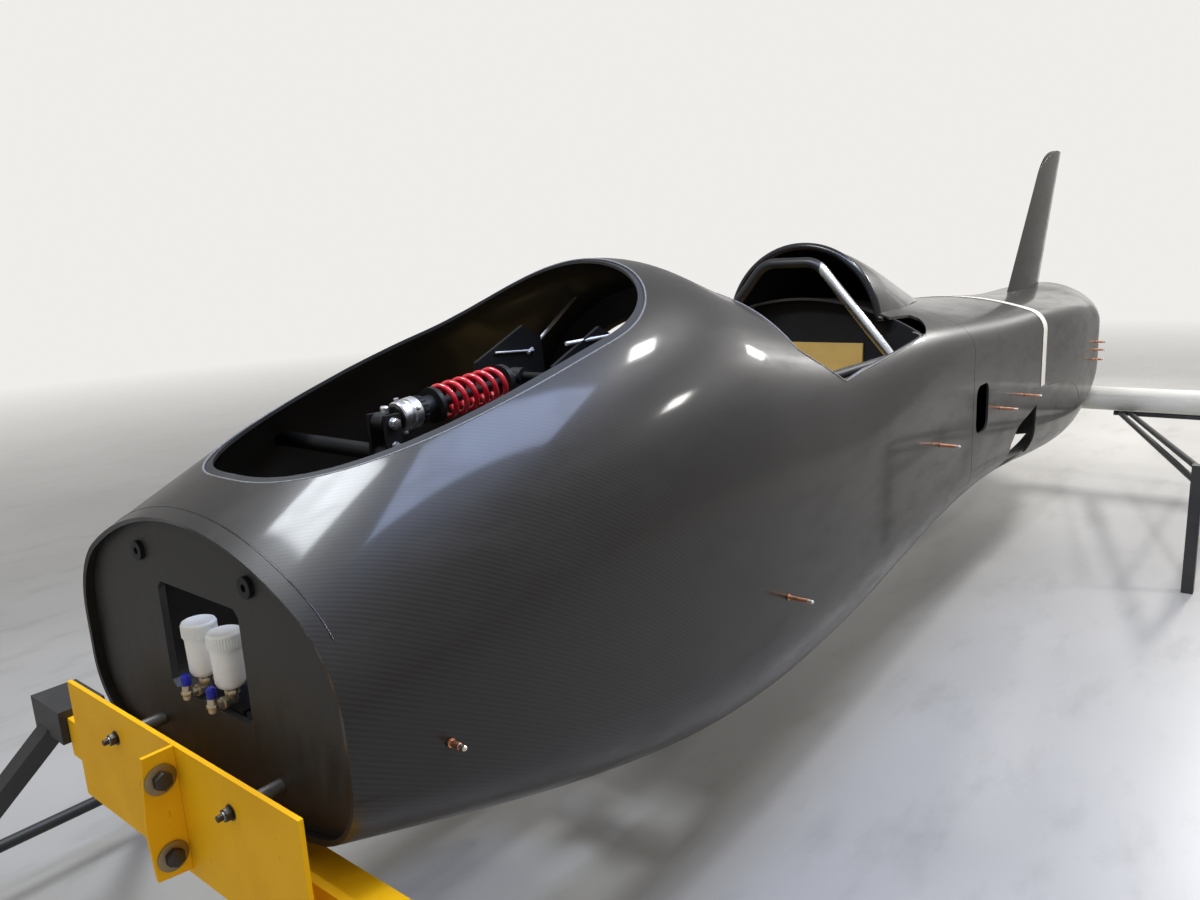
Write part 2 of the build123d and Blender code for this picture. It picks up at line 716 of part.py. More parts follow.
def axle_bar(centre):
    """Axle with the two collars that locate the hub."""
    bar = cross_bar(centre, FORK_HALF + LEG_R + 12, AXLE_R)
    collar_in, collar_out = HUB_WIDTH / 2 + COLLAR_GAP, FORK_HALF - LEG_R - GLUE
    for side in (-1, 1):
        inside, outside = Vector(0, side * collar_in, 0), Vector(0, side * collar_out, 0)
        bar += tube_between(centre + inside, centre + outside, COLLAR_R)
    return bar


def hub_solid(centre):
    """Hub barrel with a drilled flange at each end."""
    half = HUB_WIDTH / 2
    barrel = cross_bar(centre, half, HUB_R)
    for side in (-1, 1):
        face, inside = Vector(0, side * half, 0), Vector(0, side * (half - FLANGE_T), 0)
        barrel += tube_between(centre + inside, centre + face, FLANGE_R)
    barrel -= cross_bar(centre, HUB_WIDTH, AXLE_R + RUN_CLEAR)
    for number in range(HUB_BOLTS):
        turn = radians(360 * number / HUB_BOLTS + 30)
        hole = centre + Vector(cos(turn), 0, sin(turn)) * (HUB_BOLT_PCD / 2)
        barrel -= cross_bar(hole, HUB_WIDTH, HUB_BOLT_R)
    return barrel


export("front_axle", axle_bar(AXLE))
export("front_hub", hub_solid(AXLE))

# Steering post in the cockpit, parallel to the fork's stem, and the link between their arms
post_bore = fork_bar(ARM_UP - 200, ARM_UP + 50, STEM_R + RUN_CLEAR, ahead=-BAR_BACK)
post_mount = fork_bar(ARM_UP - 70, ARM_UP - 8, HEAD_R, ahead=-BAR_BACK)
post_beam = fit & (Pos(fork_at(ARM_UP - 40, ahead=-BAR_BACK)) * Box(POST_BEAM[0], 2 * FAR, POST_BEAM[1]))
export("post_beam", post_beam + post_mount - post_bore)
post = fork_bar(ARM_UP - 90, ARM_UP + POST_RISE, STEM_R, ahead=-BAR_BACK)
grip = cross_bar(fork_at(ARM_UP + POST_RISE - 10, ahead=-BAR_BACK), GRIP_HALF, GRIP_R)
export("steering_bar", post + steering_arm(-BAR_BACK) + grip)

link_up = ARM_UP + LINK_UP
link = tube_between(fork_at(link_up, STEER_ARM, -4), fork_at(link_up, STEER_ARM, 4 - BAR_BACK), LINK_R)
for ahead in (0, -BAR_BACK):
    link += fork_bar(link_up - LINK_EYE_HALF, link_up + LINK_EYE_HALF, LINK_EYE_R, STEER_ARM, ahead)
for ahead in (0, -BAR_BACK):
    link -= fork_bar(link_up - 40, link_up + 40, LINK_PIN_R + RUN_CLEAR, STEER_ARM, ahead)
export("steering_link", link)

# Rear arm, axle and hub
rear_centre = at(REAR_AXLE_ST, 0, AXLE_Z)
arm_start = REAR_BULKHEAD + REAR_BULKHEAD_T + GLUE
rear_arm = cross_bar(at(ARM_PIVOT_ST, 0, ARM_Z), FORK_HALF, ARM_TIE_R)
for side in (-1, 1):
    y = side * FORK_HALF
    root, bend = at(arm_start, y, ARM_Z), at(ARM_PIVOT_ST, y, ARM_Z)
    rear_arm += box_between(root, bend, ARM_SIDE[0], ARM_SIDE[1] + 16)
    bend, tip = at(ARM_PIVOT_ST - 20, y, ARM_Z + 5), at(REAR_AXLE_ST + 30, y, AXLE_Z - 12)
    rear_arm += box_between(bend, tip, *ARM_SIDE)
export("rear_arm", rear_arm - cross_bar(rear_centre, 300, AXLE_R + AXLE_FIT))
export("rear_axle", axle_bar(rear_centre))
export("rear_hub", hub_solid(rear_centre))

# Battery and motor block on its two bearers
block_low, block_high = BLOCK_Z
export("drive_block", slab(*BLOCK, BLOCK_HALF, block_low + GLUE, block_high))
bearers = []
for side in (-1, 1):
    bearer = Pos(0, side * BEARER_Y, 0) * slab(*BLOCK, BEARER_W / 2, block_low - 200, block_low)
    bearers.append(fit & bearer)
export("block_bearers", Compound(children=bearers))

# Brake fluid reservoirs in the window, on their elbows and shelf
cup_outline = [(0, 0), (20, 0), (24, 10), (25.5, RES_BODY - RES_CAP), (0, RES_BODY - RES_CAP)]
cup = revolve(Plane.XZ * make_face(Polyline(cup_outline, close=True)), Axis.Z)
lid = Cylinder(RES_R, RES_CAP, align=(Align.CENTER, Align.CENTER, Align.MIN))
bodies, caps, elbows, plugs = [], [], [], []
for y in RES_Y:
    foot = at(RES_STATION, y, RES_Z)
    knee, spout = foot - Vector(0, 0, ELBOW_DROP), foot + Vector(ELBOW_REACH, 0, -ELBOW_DROP)
    bodies.append(Pos(foot) * cup)
    caps.append(Pos(foot + Vector(0, 0, RES_BODY - RES_CAP + GLUE)) * lid)
    elbow = tube_between(knee, foot - Vector(0, 0, GLUE), ELBOW_R + 1) + tube_between(knee, spout, ELBOW_R)
    elbow += tube_between(spout - Vector(0, 0, ELBOW_R), spout + Vector(0, 0, 2 * ELBOW_R), ELBOW_R)
    elbows.append(elbow)
    plug_foot, plug_top = Vector(0, 0, 2 * ELBOW_R + GLUE), Vector(0, 0, PLUG_TOP)
    plugs.append(tube_between(spout + plug_foot, spout + plug_top, PLUG_R))
shelf_face = BULKHEAD + GLUE
shelf_top = RES_Z - ELBOW_DROP - ELBOW_R - GLUE
shelf = slab(shelf_face, shelf_face + SHELF_DEPTH, SHELF_WIDTH / 2, shelf_top - SHELF_T, shelf_top)
shelf += slab(shelf_face, shelf_face + SHELF_T, SHELF_WIDTH / 2, shelf_top - SHELF_FLANGE, shelf_top)
export("reservoir_bodies", Compound(children=bodies))
export("reservoir_caps", Compound(children=caps))
export("reservoir_elbows", Compound(children=elbows))
export("elbow_plugs", Compound(children=plugs))
export("reservoir_shelf", shelf)


def skin_pins(side):
    """The pins of one flank, each square to the skin where it was pushed in."""
    pins = []
    for row in PINS:
        pin = dict(zip(PIN_COLUMNS, row))
        ray = Axis(at(pin["station"], side * 700, pin["z"]), (0, -side, 0))
        hits = outer.find_intersection_points(ray)
        point, normal = min(hits, key=lambda hit: abs(hit[0].Y - side * 700))
        if normal.Y * side < 0:
            normal = normal * -1
        shoulder = point + normal * (pin["reach"] - PIN_TIP)
        shank = tube_between(point + normal * GLUE, shoulder, PIN_R)
        pins.append(shank + tube_between(shoulder, point + normal * pin["reach"], PIN_TIP_R))
    return Compound(children=pins)


export("skin_pins_left", skin_pins(1))
export("skin_pins_right", skin_pins(-1))

band = body_solid(-BAND_T - GLUE) - body_solid(-GLUE)
export("tail_band", band & slab(*BAND_ST, FAR, BAND_LOW, 1500))

# Front plate on two spacers that pass into the bulkhead
plate = slab(PLATE_STATION, PLATE_STATION + PLATE_T, PLATE_HALF, *PLATE_Z)
plate_back = PLATE_STATION + PLATE_T + GLUE
spacers = []
for side in (-1, 1):
    y = side * SPACER_Y
    nut_reach, nut_r = SPACER_NUT
    plate -= tube_between(at(-200, y, SPACER_Z), at(0, y, SPACER_Z), nut_r + GLUE)
    spacer = tube_between(at(plate_back, y, SPACER_Z), at(BULKHEAD, y, SPACER_Z), SPACER_R)
    nut = tube_between(at(plate_back - nut_reach, y, SPACER_Z), at(plate_back, y, SPACER_Z), nut_r)
    spacers.append(spacer + nut)
export("mount_plate", plate)
export("mount_spacers", Compound(children=spacers))

# Lug with its two cross bolts
lug_back = PLATE_STATION - GLUE
near, far = LUG_Y
lug = extrude(side_outline([(lug_back - out, z) for out, z in LUG_OUTLINE]), far - near, dir=(0, 1, 0))
lug = Pos(0, near, 0) * lug
bolts = []
for z in PIVOT_Z:
    head_y, nut_y = far + GLUE + WASHER_T, near - GLUE - WASHER_T
    runs = (
        (nut_y - PIVOT_NUT - 6, head_y, PIVOT_R),
        (far + GLUE, head_y, WASHER_R),
        (nut_y, near - GLUE, WASHER_R),
        (head_y, head_y + PIVOT_HEAD, PIVOT_HEAD_R),
        (nut_y - PIVOT_NUT, nut_y, PIVOT_HEAD_R),
    )
    bars = [tube_between(at(PIVOT_ST, low, z), at(PIVOT_ST, high, z), radius) for low, high, radius in runs]
    lug -= tube_between(at(PIVOT_ST, near - 20, z), at(PIVOT_ST, far + 20, z), PIVOT_R + GLUE)
    bolts.append(bars[0] + bars[1:])
export("pivot_channel", lug)
export("pivot_bolts", Compound(children=bolts))

# Cross beam under the nose with the two tabs that the plate rests on, and its trestles
beam = slab(-BEAM_W / 2, BEAM_W / 2, BEAM_HALF, *BEAM_Z)
tab_width, tab_height = SEAT_TAB
tab_low = (BEAM_Z[0] + BEAM_Z[1] - tab_height) / 2
for side in (-1, 1):
    tab = slab(PLATE_STATION + PLATE_T + GLUE, -BEAM_W / 2, tab_width / 2, tab_low, tab_low + tab_height)
    beam += Pos(0, side * SEAT_TAB_Y, 0) * tab
export("stand_beam", beam)

near, far = TRESTLE_BLOCK
block_low, block_high = TRESTLE_BLOCK_Z
head_st, head_out, head_z = LEG_HEAD
trestles = []
for side in (-1, 1):
    middle = side * (near + far) / 2
    head = slab(-TRESTLE_DEEP / 2, TRESTLE_DEEP / 2, (far - near) / 2, block_low, block_high)
    trestle = Pos(0, middle, 0) * head
    for fore in (-1, 1):
        foot = at(fore * TRESTLE_FOOT_ST, side * TRESTLE_FOOT_Y, 0)
        leg_head = at(fore * head_st, middle + side * head_out, head_z)
        trestle += box_between(leg_head, foot, TUBE, TUBE) & slab(-900, 900, 1200, FOOT_T, FAR)
        trestle += Pos(foot + Vector(0, 0, FOOT_T / 2)) * Box(FOOT_PAD, FOOT_PAD, FOOT_T)
    brace_y = side * (TRESTLE_FOOT_Y - (TRESTLE_FOOT_Y - abs(middle) - head_out) * BRACE_SHARE)
    reach = TRESTLE_FOOT_ST * (1 - BRACE_SHARE) + head_st * BRACE_SHARE
    brace_z = head_z * BRACE_SHARE
    trestle += tube_between(at(-reach, brace_y, brace_z), at(reach, brace_y, brace_z), BRACE_R)
    trestles.append(trestle)
export("front_trestle", Compound(children=trestles))


def cradle_run(reach, radius):
    """A round bar on the cradle's line."""
    return tube_between(at(PAD_ST, -reach, PAD_Z), at(PAD_ST, reach, PAD_Z), radius)


# Rear cradle: foam-covered bar across under the tail, and its stand
export("cradle_bar", cradle_run(PAD_HALF + CORE_REACH, CORE_R))
pad = cradle_run(PAD_HALF, PAD_R) - cradle_run(PAD_HALF + 200, CORE_R + GLUE)
export("cradle_pad", pad - body_solid(-GLUE))
sides = []
for side in (-1, 1):
    leg_y, end_y = side * REAR_LEG_Y, side * (PAD_HALF + CORE_REACH / 2)
    under_pad = PAD_Z - PAD_R - BAR_R - 2
    stand = box_between(at(PAD_ST, end_y, 0), at(PAD_ST, end_y, PAD_Z - CORE_R - GLUE), TUBE, TUBE)
    stand += box_between(at(REAR_LEG_ST, leg_y, 0), at(REAR_LEG_ST, leg_y, REAR_LEG_TOP), TUBE, TUBE)
    rail_ends = at(REAR_LEG_ST, leg_y, SIDE_RAIL_Z), at(PAD_ST, end_y, SIDE_RAIL_Z)
    stand += box_between(*rail_ends, SIDE_RAIL, SIDE_RAIL)
    for out, drop in BARS:
        bar_head = at(REAR_LEG_ST, leg_y, REAR_LEG_TOP - drop)
        stand += tube_between(bar_head, at(PAD_ST, side * (BAR_START_Y + out), under_pad), BAR_R)
    tie_ends = at(PAD_ST, side * (BAR_START_Y - 30), under_pad), at(PAD_ST, end_y, under_pad)
    stand += tube_between(*tie_ends, BAR_R)
    sides.append(stand)
export("rear_stand", Compound(children=sides))
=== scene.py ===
import json
from math import atan, cos, pi, radians, sin, sqrt

import bmesh
import bpy
import numpy as np
from mathutils import Matrix, Vector
from mathutils.bvhtree import BVHTree

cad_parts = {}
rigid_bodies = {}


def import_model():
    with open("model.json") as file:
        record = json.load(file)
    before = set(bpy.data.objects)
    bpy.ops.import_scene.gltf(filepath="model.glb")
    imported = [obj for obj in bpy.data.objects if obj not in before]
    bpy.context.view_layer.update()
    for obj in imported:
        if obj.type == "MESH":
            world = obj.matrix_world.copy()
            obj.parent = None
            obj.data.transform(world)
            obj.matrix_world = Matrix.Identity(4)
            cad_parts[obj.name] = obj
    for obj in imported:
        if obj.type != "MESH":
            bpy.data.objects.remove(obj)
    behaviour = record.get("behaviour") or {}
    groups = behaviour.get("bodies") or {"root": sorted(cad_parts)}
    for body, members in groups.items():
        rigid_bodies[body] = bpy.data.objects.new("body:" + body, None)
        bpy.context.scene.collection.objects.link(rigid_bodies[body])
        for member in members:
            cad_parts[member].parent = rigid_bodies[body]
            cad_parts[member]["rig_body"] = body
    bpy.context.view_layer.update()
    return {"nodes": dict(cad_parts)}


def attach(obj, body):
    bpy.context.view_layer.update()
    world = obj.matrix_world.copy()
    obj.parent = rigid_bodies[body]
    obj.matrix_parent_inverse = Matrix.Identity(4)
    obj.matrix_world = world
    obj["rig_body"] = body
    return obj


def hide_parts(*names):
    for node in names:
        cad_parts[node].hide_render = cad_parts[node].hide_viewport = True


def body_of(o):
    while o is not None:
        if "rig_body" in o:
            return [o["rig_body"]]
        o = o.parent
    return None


# A record streamliner's carbon body on its workshop stands, in metres.
# Stations run back from the front bulkhead's face. +X is forward, +Y is the vehicle's left, +Z is up.

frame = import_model()
nodes = frame["nodes"]
scene = bpy.context.scene

NOSE_X = 2.565
LIP = 0.018
WALL = 0.008
SEAM = 2.500
SEAM_GAP = 0.003
TAIL_END = 5.400
CORE_HEIGHT = 0.8  # a height inside every section
OUTSIDE = 0.6  # a lateral beyond every section
SIDES = (-1, 1)
UP, LEFT, AHEAD = Vector((0, 0, 1)), Vector((0, 1, 0)), Vector((1, 0, 0))

SECTIONS = (  # station, half width, belly, foot and head of the side, crown, radii of corner and shoulder
    (-LIP, 0.398, 0.565, 0.720, 0.800, 1.037, 0.121, 0.175),
    (0.160, 0.414, 0.503, 0.680, 0.819, 1.126, 0.142, 0.262),
    (0.350, 0.430, 0.438, 0.640, 0.840, 1.215, 0.166, 0.350),
    (0.650, 0.449, 0.344, 0.590, 0.869, 1.328, 0.205, 0.464),
    (0.950, 0.460, 0.278, 0.560, 0.880, 1.390, 0.237, 0.537),
    (1.100, 0.463, 0.262, 0.555, 0.875, 1.388, 0.246, 0.540),
    (1.220, 0.463, 0.256, 0.553, 0.867, 1.352, 0.248, 0.497),
    (1.360, 0.462, 0.260, 0.556, 0.868, 1.308, 0.246, 0.429),
    (1.500, 0.460, 0.270, 0.560, 0.870, 1.274, 0.239, 0.378),
    (1.820, 0.452, 0.318, 0.578, 0.931, 1.245, 0.208, 0.260),
    (2.150, 0.442, 0.370, 0.600, 1.000, 1.228, 0.174, 0.152),
    (2.520, 0.431, 0.395, 0.617, 1.011, 1.200, 0.161, 0.111),
    (2.900, 0.424, 0.388, 0.620, 0.995, 1.172, 0.162, 0.108),
    (3.250, 0.422, 0.363, 0.608, 0.995, 1.153, 0.169, 0.098),
    (3.600, 0.424, 0.330, 0.590, 1.000, 1.140, 0.179, 0.088),
    (3.950, 0.426, 0.303, 0.578, 0.990, 1.120, 0.197, 0.085),
    (4.300, 0.416, 0.310, 0.580, 0.975, 1.105, 0.203, 0.085),
    (4.550, 0.398, 0.352, 0.597, 0.950, 1.102, 0.189, 0.104),
    (4.750, 0.384, 0.410, 0.628, 0.925, 1.106, 0.169, 0.129),
    (4.900, 0.368, 0.470, 0.665, 0.905, 1.114, 0.153, 0.157),
    (5.080, 0.335, 0.560, 0.715, 0.890, 1.116, 0.121, 0.176),
    (5.240, 0.285, 0.625, 0.745, 0.875, 1.108, 0.095, 0.203),
    (5.400, 0.190, 0.700, 0.780, 0.860, 1.040, 0.065, 0.173),
)
TOP_STEPS, SHOULDER_STEPS, SIDE_STEPS, CORNER_STEPS, BOTTOM_STEPS = 10, 9, 6, 10, 8

# Openings in the skin
HATCH_FRONT, HATCH_WIDEST, HATCH_REAR, HATCH_HALF, HATCH_POWER = 0.075, 0.700, 1.005, 0.287, 2.5
HATCH_FOOT, CUT_HEIGHT = 0.950, 0.6
LEDGE, LEDGE_DROP, LEDGE_T = 0.015, 0.0035, 0.006
COCKPIT_FRONT, COCKPIT_NECK, COCKPIT_CORNER = 1.360, 1.155, (1.515, 1.058)
COCKPIT_REAR, SILL_REAR = 2.086, (2.130, 1.114)
POCKET_REAR, POCKET_INSIDE, POCKET_OUTSIDE = 2.280, 0.292, 0.392
POCKET_OVERLAP, POCKET_END, POCKET_TIP, POCKET_BOW = 0.060, 0.012, 0.022, (0.040, 0.033)
SLOT_STATION, SLOT_WIDTH, SLOT_LOW, SLOT_HIGH, SLOT_CORNER = 2.612, 0.150, 0.728, 0.896, 0.045
ARCH_FRONT, ARCH_FRONT_Z, ARCH_REAR, ARCH_LOW, ARCH_HIGH = 3.030, 0.600, 3.395, 0.500, 0.700
WELL_HALF, WELL_FOOT, WELL_TOP = 0.130, 0.100, 0.500
WELLS = ((0.420, 1.180), (3.560, 4.480))

# Camera, from the photograph's vanishing points
CAMERA_STATION, CAMERA_LATERAL, CAMERA_HEIGHT = -0.630, 1.352, 1.400
LOOK = Vector((-0.7738, -0.6334, 0.0))
PITCH = radians(12.17)
ROLL = (0.99867, 0.05150)
FOCAL_PIXELS = 903.0
IMAGE_WIDTH = 1200.0
SENSOR = 36.0

CLOTH_CHART = "weave"  # the skins' UV map, in metres
WELD = 0.00001  # how near corners are made one
TOW = 0.0022
EDGE = 0.0008  # width of a softened edge


def at(station, lateral, height):
    """A point given by its station."""
    return Vector((NOSE_X - station, lateral, height))


# Shader maths


def operator(operation):
    """A method that puts one Math node on a socket and another value."""

    def apply(self, other):
        return self.math(operation, other)

    return apply


class Value:
    """One shader socket, so that maths on it reads as an expression."""

    def __init__(self, shade, socket):
        self.shade = shade
        self.socket = socket

    def math(self, operation, *others):
        return self.shade.node("Math", {"operation": operation}, (self, *others))

    __add__ = __radd__ = operator("ADD")
    __sub__ = operator("SUBTRACT")
    __mul__ = __rmul__ = operator("MULTIPLY")
    __truediv__ = operator("DIVIDE")
    __mod__ = operator("FLOORED_MODULO")
    __lt__ = operator("LESS_THAN")
    __pow__ = operator("POWER")

    def __rsub__(self, other):
        return self.shade.node("Math", {"operation": "SUBTRACT"}, (other, self))

    def floor(self):
        return self.math("FLOOR")

    def fraction(self):
        return self.math("FRACT")

    def wave(self):
        return self.math("SINE")

    def between(self, low, high):
        """0 below low, 1 above high and straight between."""
        inputs = {"Value": self, "From Min": low, "From Max": high}
        return self.shade.node("MapRange", {"clamp": True}, inputs)


class Shade:
    """The nodes of a new material round its shader, or of a new world round its background."""

    def __init__(self, name, kind=bpy.data.materials, surface="Principled BSDF"):
        self.owner = kind.new(name)
        self.owner.use_nodes = True
        self.tree = self.owner.node_tree
        self.surface = self.tree.nodes[surface]

    def node(self, kind, settings=None, inputs=(), output=0):
        """A node of a type, with its settings made first and then its sockets fed."""
        node = self.tree.nodes.new("ShaderNode" + kind)
        for name, value in (settings or {}).items():
            setattr(node, name, value)
        pairs = inputs.items() if isinstance(inputs, dict) else enumerate(inputs)
        for key, value in pairs:
            self.feed(node.inputs[key], value)
        return Value(self, node.outputs[output])

    def feed(self, socket, value):
        if isinstance(value, Value):
            self.tree.links.new(value.socket, socket)
        elif isinstance(value, (tuple, list)) and len(value) == 3 and len(socket.default_value) == 4:
            socket.default_value = (*value, 1.0)
        else:
            socket.default_value = value

    def made(self, **sockets):
        """The material or world, once its shader's sockets are fed; underscores stand for their spaces."""
        for name, value in sockets.items():
            self.feed(self.surface.inputs[name.replace("_", " ")], value)
        return self.owner

    def split(self, vector):
        first = self.node("SeparateXYZ", {}, [vector])
        return [Value(self, out) for out in first.socket.node.outputs]

    def noise(self, vector, scale, detail=2.0, roughness=0.5):
        inputs = {"Vector": vector, "Scale": scale, "Detail": detail, "Roughness": roughness}
        return self.node("TexNoise", {}, inputs)

    def stretched(self, vector, scale):
        return self.node("Mapping", {}, {"Vector": vector, "Scale": scale})

    def blend(self, factor, first, second):
        """A colour between two colours."""
        return self.node("Mix", {"data_type": "RGBA"}, {0: factor, 6: first, 7: second}, 2)

    def bump(self, height, distance, strength):
        inputs = {"Height": height, "Distance": distance, "Strength": strength}
        return self.node("Bump", {}, inputs, "Normal")


def placed_shade(name):
    """A new material's nodes and its object coordinates."""
    shade = Shade(name)
    return shade, shade.node("TexCoord", output="Object")


def twill(shade):
    """Two-by-two twill on the cloth chart: which tow is on top, and how high it stands."""
    across, along, _ = shade.split(shade.node("UVMap", {"uv_map": CLOTH_CHART}))
    warp, weft = across / TOW, along / TOW
    on_top = ((warp.floor() - weft.floor()) % 4.0) < 1.5
    warp_round = 1.0 - (warp.fraction() * 2.0 - 1.0) ** 2.0
    weft_round = 1.0 - (weft.fraction() * 2.0 - 1.0) ** 2.0
    return on_top, on_top * warp_round + (1.0 - on_top) * weft_round


def plain_weave(across, along, pitch):
    return ((across * pitch).wave() * (along * pitch).wave()) * 0.5 + 0.5


def carbon_gloss():
    """Cured carbon cloth under flatted resin: a fine twill, slow unevenness, faint dust and sanding haze."""
    shade, place = placed_shade("carbon_gloss")
    on_top, tow_height = twill(shade)
    slow = shade.noise(place, 2.2, 3.0)
    haze = shade.noise(shade.stretched(place, (1.0, 3.0, 3.0)), 5.0, 5.0, 0.62).between(0.46, 0.78)
    cloth = shade.blend(on_top, (0.0190, 0.0170, 0.0150), (0.0275, 0.0248, 0.0220))
    worn = shade.blend(haze * 0.35, cloth, (0.040, 0.037, 0.034))
    return shade.made(
        Base_Color=shade.blend(slow.between(0.35, 0.7) * 0.35, worn, (0.026, 0.022, 0.019)),
        Roughness=0.36 + haze * 0.14,
        Normal=shade.bump(tow_height, 0.00006, 0.25),
        Coat_Weight=0.36 - haze * 0.10,
        Coat_Roughness=0.09,
        Coat_IOR=1.40,
        Specular_IOR_Level=0.20,
    )


def carbon_dull():
    """The same cloth inside, straight off the mould's bag side: dark, matte and a little resin-starved."""
    shade, place = placed_shade("carbon_dull")
    x, y, z = shade.split(place)
    slant = ((x + y + z) * 900.0).wave() * 0.5 + 0.5
    patches = shade.noise(place, 9.0, 4.0)
    return shade.made(
        Base_Color=shade.blend(patches.between(0.3, 0.75), (0.012, 0.012, 0.012), (0.030, 0.029, 0.028)),
        Roughness=0.55 + patches * 0.2,
        Normal=shade.bump(slant * 0.4 + patches, 0.0004, 0.35),
        Specular_IOR_Level=0.35,
    )


def bulkhead_laminate():
    """The front panel: satin laminate with faint cloth and handling marks."""
    shade, place = placed_shade("bulkhead_laminate")
    _, y, z = shade.split(place)
    cloth = plain_weave(y, z, 1250.0)
    marks = shade.noise(shade.stretched(place, (1.0, 5.0, 1.2)), 7.0, 6.0, 0.65)
    return shade.made(
        Base_Color=shade.blend(marks.between(0.35, 0.8), (0.021, 0.021, 0.020), (0.056, 0.053, 0.049)),
        Roughness=0.42 + marks.between(0.3, 0.7) * 0.2,
        Normal=shade.bump(cloth * 0.3 + marks * 0.5, 0.0003, 0.4),
        Specular_IOR_Level=0.4,
    )


def painted(name, colour, dark, roughness=0.38, grime=0.5, texture=0.0003, shine=0.5):
    """Brushed or sprayed paint with orange peel, dulled patches and dirt."""
    shade, place = placed_shade(name)
    peel = shade.noise(place, 160.0, 2.0)
    patches = shade.noise(place, 6.0, 5.0, 0.6)
    specks = shade.noise(place, 55.0, 4.0, 0.7).between(0.66, 0.74)
    base = shade.blend(patches.between(0.42, 0.75) * grime, colour, dark)
    return shade.made(
        Base_Color=shade.blend(specks * grime, base, tuple(part * 0.45 for part in dark)),
        Roughness=roughness + patches * 0.18,
        Normal=shade.bump(peel, texture, 0.35),
        Specular_IOR_Level=shine,
    )


def bare_metal(name, colour, roughness=0.3, grain=(1.0, 1.0, 1.0), streaks=90.0, tint=(0.5, 0.5, 0.5)):
    """Machined or plated metal with fine tool marks and finger marks."""
    shade, place = placed_shade(name)
    lines = shade.noise(shade.stretched(place, grain), streaks, 3.0)
    marks = shade.noise(place, 30.0, 4.0, 0.6)
    return shade.made(
        Base_Color=shade.blend(marks.between(0.5, 0.8) * 0.4, colour, tint),
        Metallic=1.0,
        Roughness=roughness + lines.between(0.3, 0.7) * 0.18,
        Normal=shade.bump(lines, 0.0002, 0.25),
    )


def milky_plastic():
    """Translucent white tank plastic, a little yellowed in patches."""
    shade, place = placed_shade("milky_plastic")
    cloud = shade.noise(place, 24.0, 4.0)
    return shade.made(
        Base_Color=shade.blend(cloud.between(0.4, 0.7), (0.96, 0.955, 0.92), (0.90, 0.89, 0.84)),
        Roughness=0.34,
        Normal=shade.bump(cloud, 0.0006, 0.3),
        Subsurface_Weight=0.10,
        Subsurface_Scale=0.01,
    )


def moulded(name, colour, roughness=0.35, shift=0.25):
    """Coloured moulded plastic or rubber with a fine grain."""
    shade, place = placed_shade(name)
    grain = shade.noise(place, 420.0, 2.0)
    cloud = shade.noise(place, 12.0, 4.0)
    darker = tuple(part * (1.0 - shift) for part in colour)
    return shade.made(
        Base_Color=shade.blend(cloud.between(0.35, 0.7), colour, darker),
        Roughness=roughness + cloud * 0.15,
        Normal=shade.bump(grain, 0.0002, 0.3),
    )


def aramid_cloth():
    """Golden aramid laminate of the seat."""
    shade, place = placed_shade("aramid_cloth")
    x, y, z = shade.split(place)
    weave = plain_weave(y, x + z, 1400.0)
    cloud = shade.noise(place, 8.0, 4.0)
    base = shade.blend(cloud.between(0.35, 0.7), (0.52, 0.33, 0.08), (0.38, 0.22, 0.05))
    return shade.made(
        Base_Color=shade.blend(weave * 0.4, base, (0.60, 0.42, 0.14)),
        Roughness=0.42 + weave * 0.12,
        Normal=shade.bump(weave, 0.0004, 0.5),
    )


def foam_sleeve():
    """White closed-cell foam wrap: soft, slightly soiled, with fine cells."""
    shade, place = placed_shade("foam_sleeve")
    cells = shade.node("TexVoronoi", {}, {"Vector": place, "Scale": 480.0}, "Distance")
    soil = shade.noise(shade.stretched(place, (2.0, 0.6, 2.0)), 5.0, 5.0, 0.6)
    return shade.made(
        Base_Color=shade.blend(soil.between(0.48, 0.8), (0.66, 0.66, 0.62), (0.50, 0.49, 0.44)),
        Roughness=0.75,
        Normal=shade.bump(cells + soil * 2.0, 0.0012, 0.4),
    )


def cloth_tape():
    """White woven tape pressed on the skin."""
    shade, place = placed_shade("cloth_tape")
    x, y, z = shade.split(place)
    weave = plain_weave(x, y + z, 2600.0)
    soil = shade.noise(place, 9.0, 4.0)
    return shade.made(
        Base_Color=shade.blend(soil.between(0.4, 0.75), (0.80, 0.78, 0.72), (0.62, 0.58, 0.50)),
        Roughness=0.62,
        Normal=shade.bump(weave, 0.0003, 0.5),
    )


def spring_coat():
    """Red powder coat of the spring, glossy, with patches of dust."""
    shade, place = placed_shade("spring_coat")
    peel = shade.noise(place, 260.0, 2.0)
    dust = shade.noise(place, 40.0, 4.0).between(0.5, 0.8)
    return shade.made(
        Base_Color=shade.blend(dust * 0.3, (0.50, 0.008, 0.020), (0.42, 0.09, 0.09)),
        Roughness=0.26 + dust * 0.2,
        Normal=shade.bump(peel, 0.0003, 0.4),
        Coat_Weight=0.5,
        Coat_Roughness=0.15,
    )


def hoop_finish():
    """The hoop: black over its top and far leg, with a painted highlight on its near leg, made bright steel
    there to stand in for a window's reflection.
    """
    shade, place = placed_shade("hoop_tube")
    _, y, z = shade.split(place)
    wear_and_highlight_edge = shade.noise(place, 26.0, 5.0, 0.6)
    # painted highlight: bright metal on the near leg's side of the hoop, its edge ragged by noise
    near_leg_highlight = ((y + wear_and_highlight_edge * 0.02) - 0.115).between(0.0, 0.006)
    return shade.made(
        Base_Color=shade.blend(near_leg_highlight, (0.012, 0.012, 0.012), (0.66, 0.66, 0.65)),
        Metallic=near_leg_highlight,
        Roughness=0.34 - near_leg_highlight * 0.12 + wear_and_highlight_edge * 0.1,
        Normal=shade.bump(wear_and_highlight_edge, 0.0003, 0.3),
    )


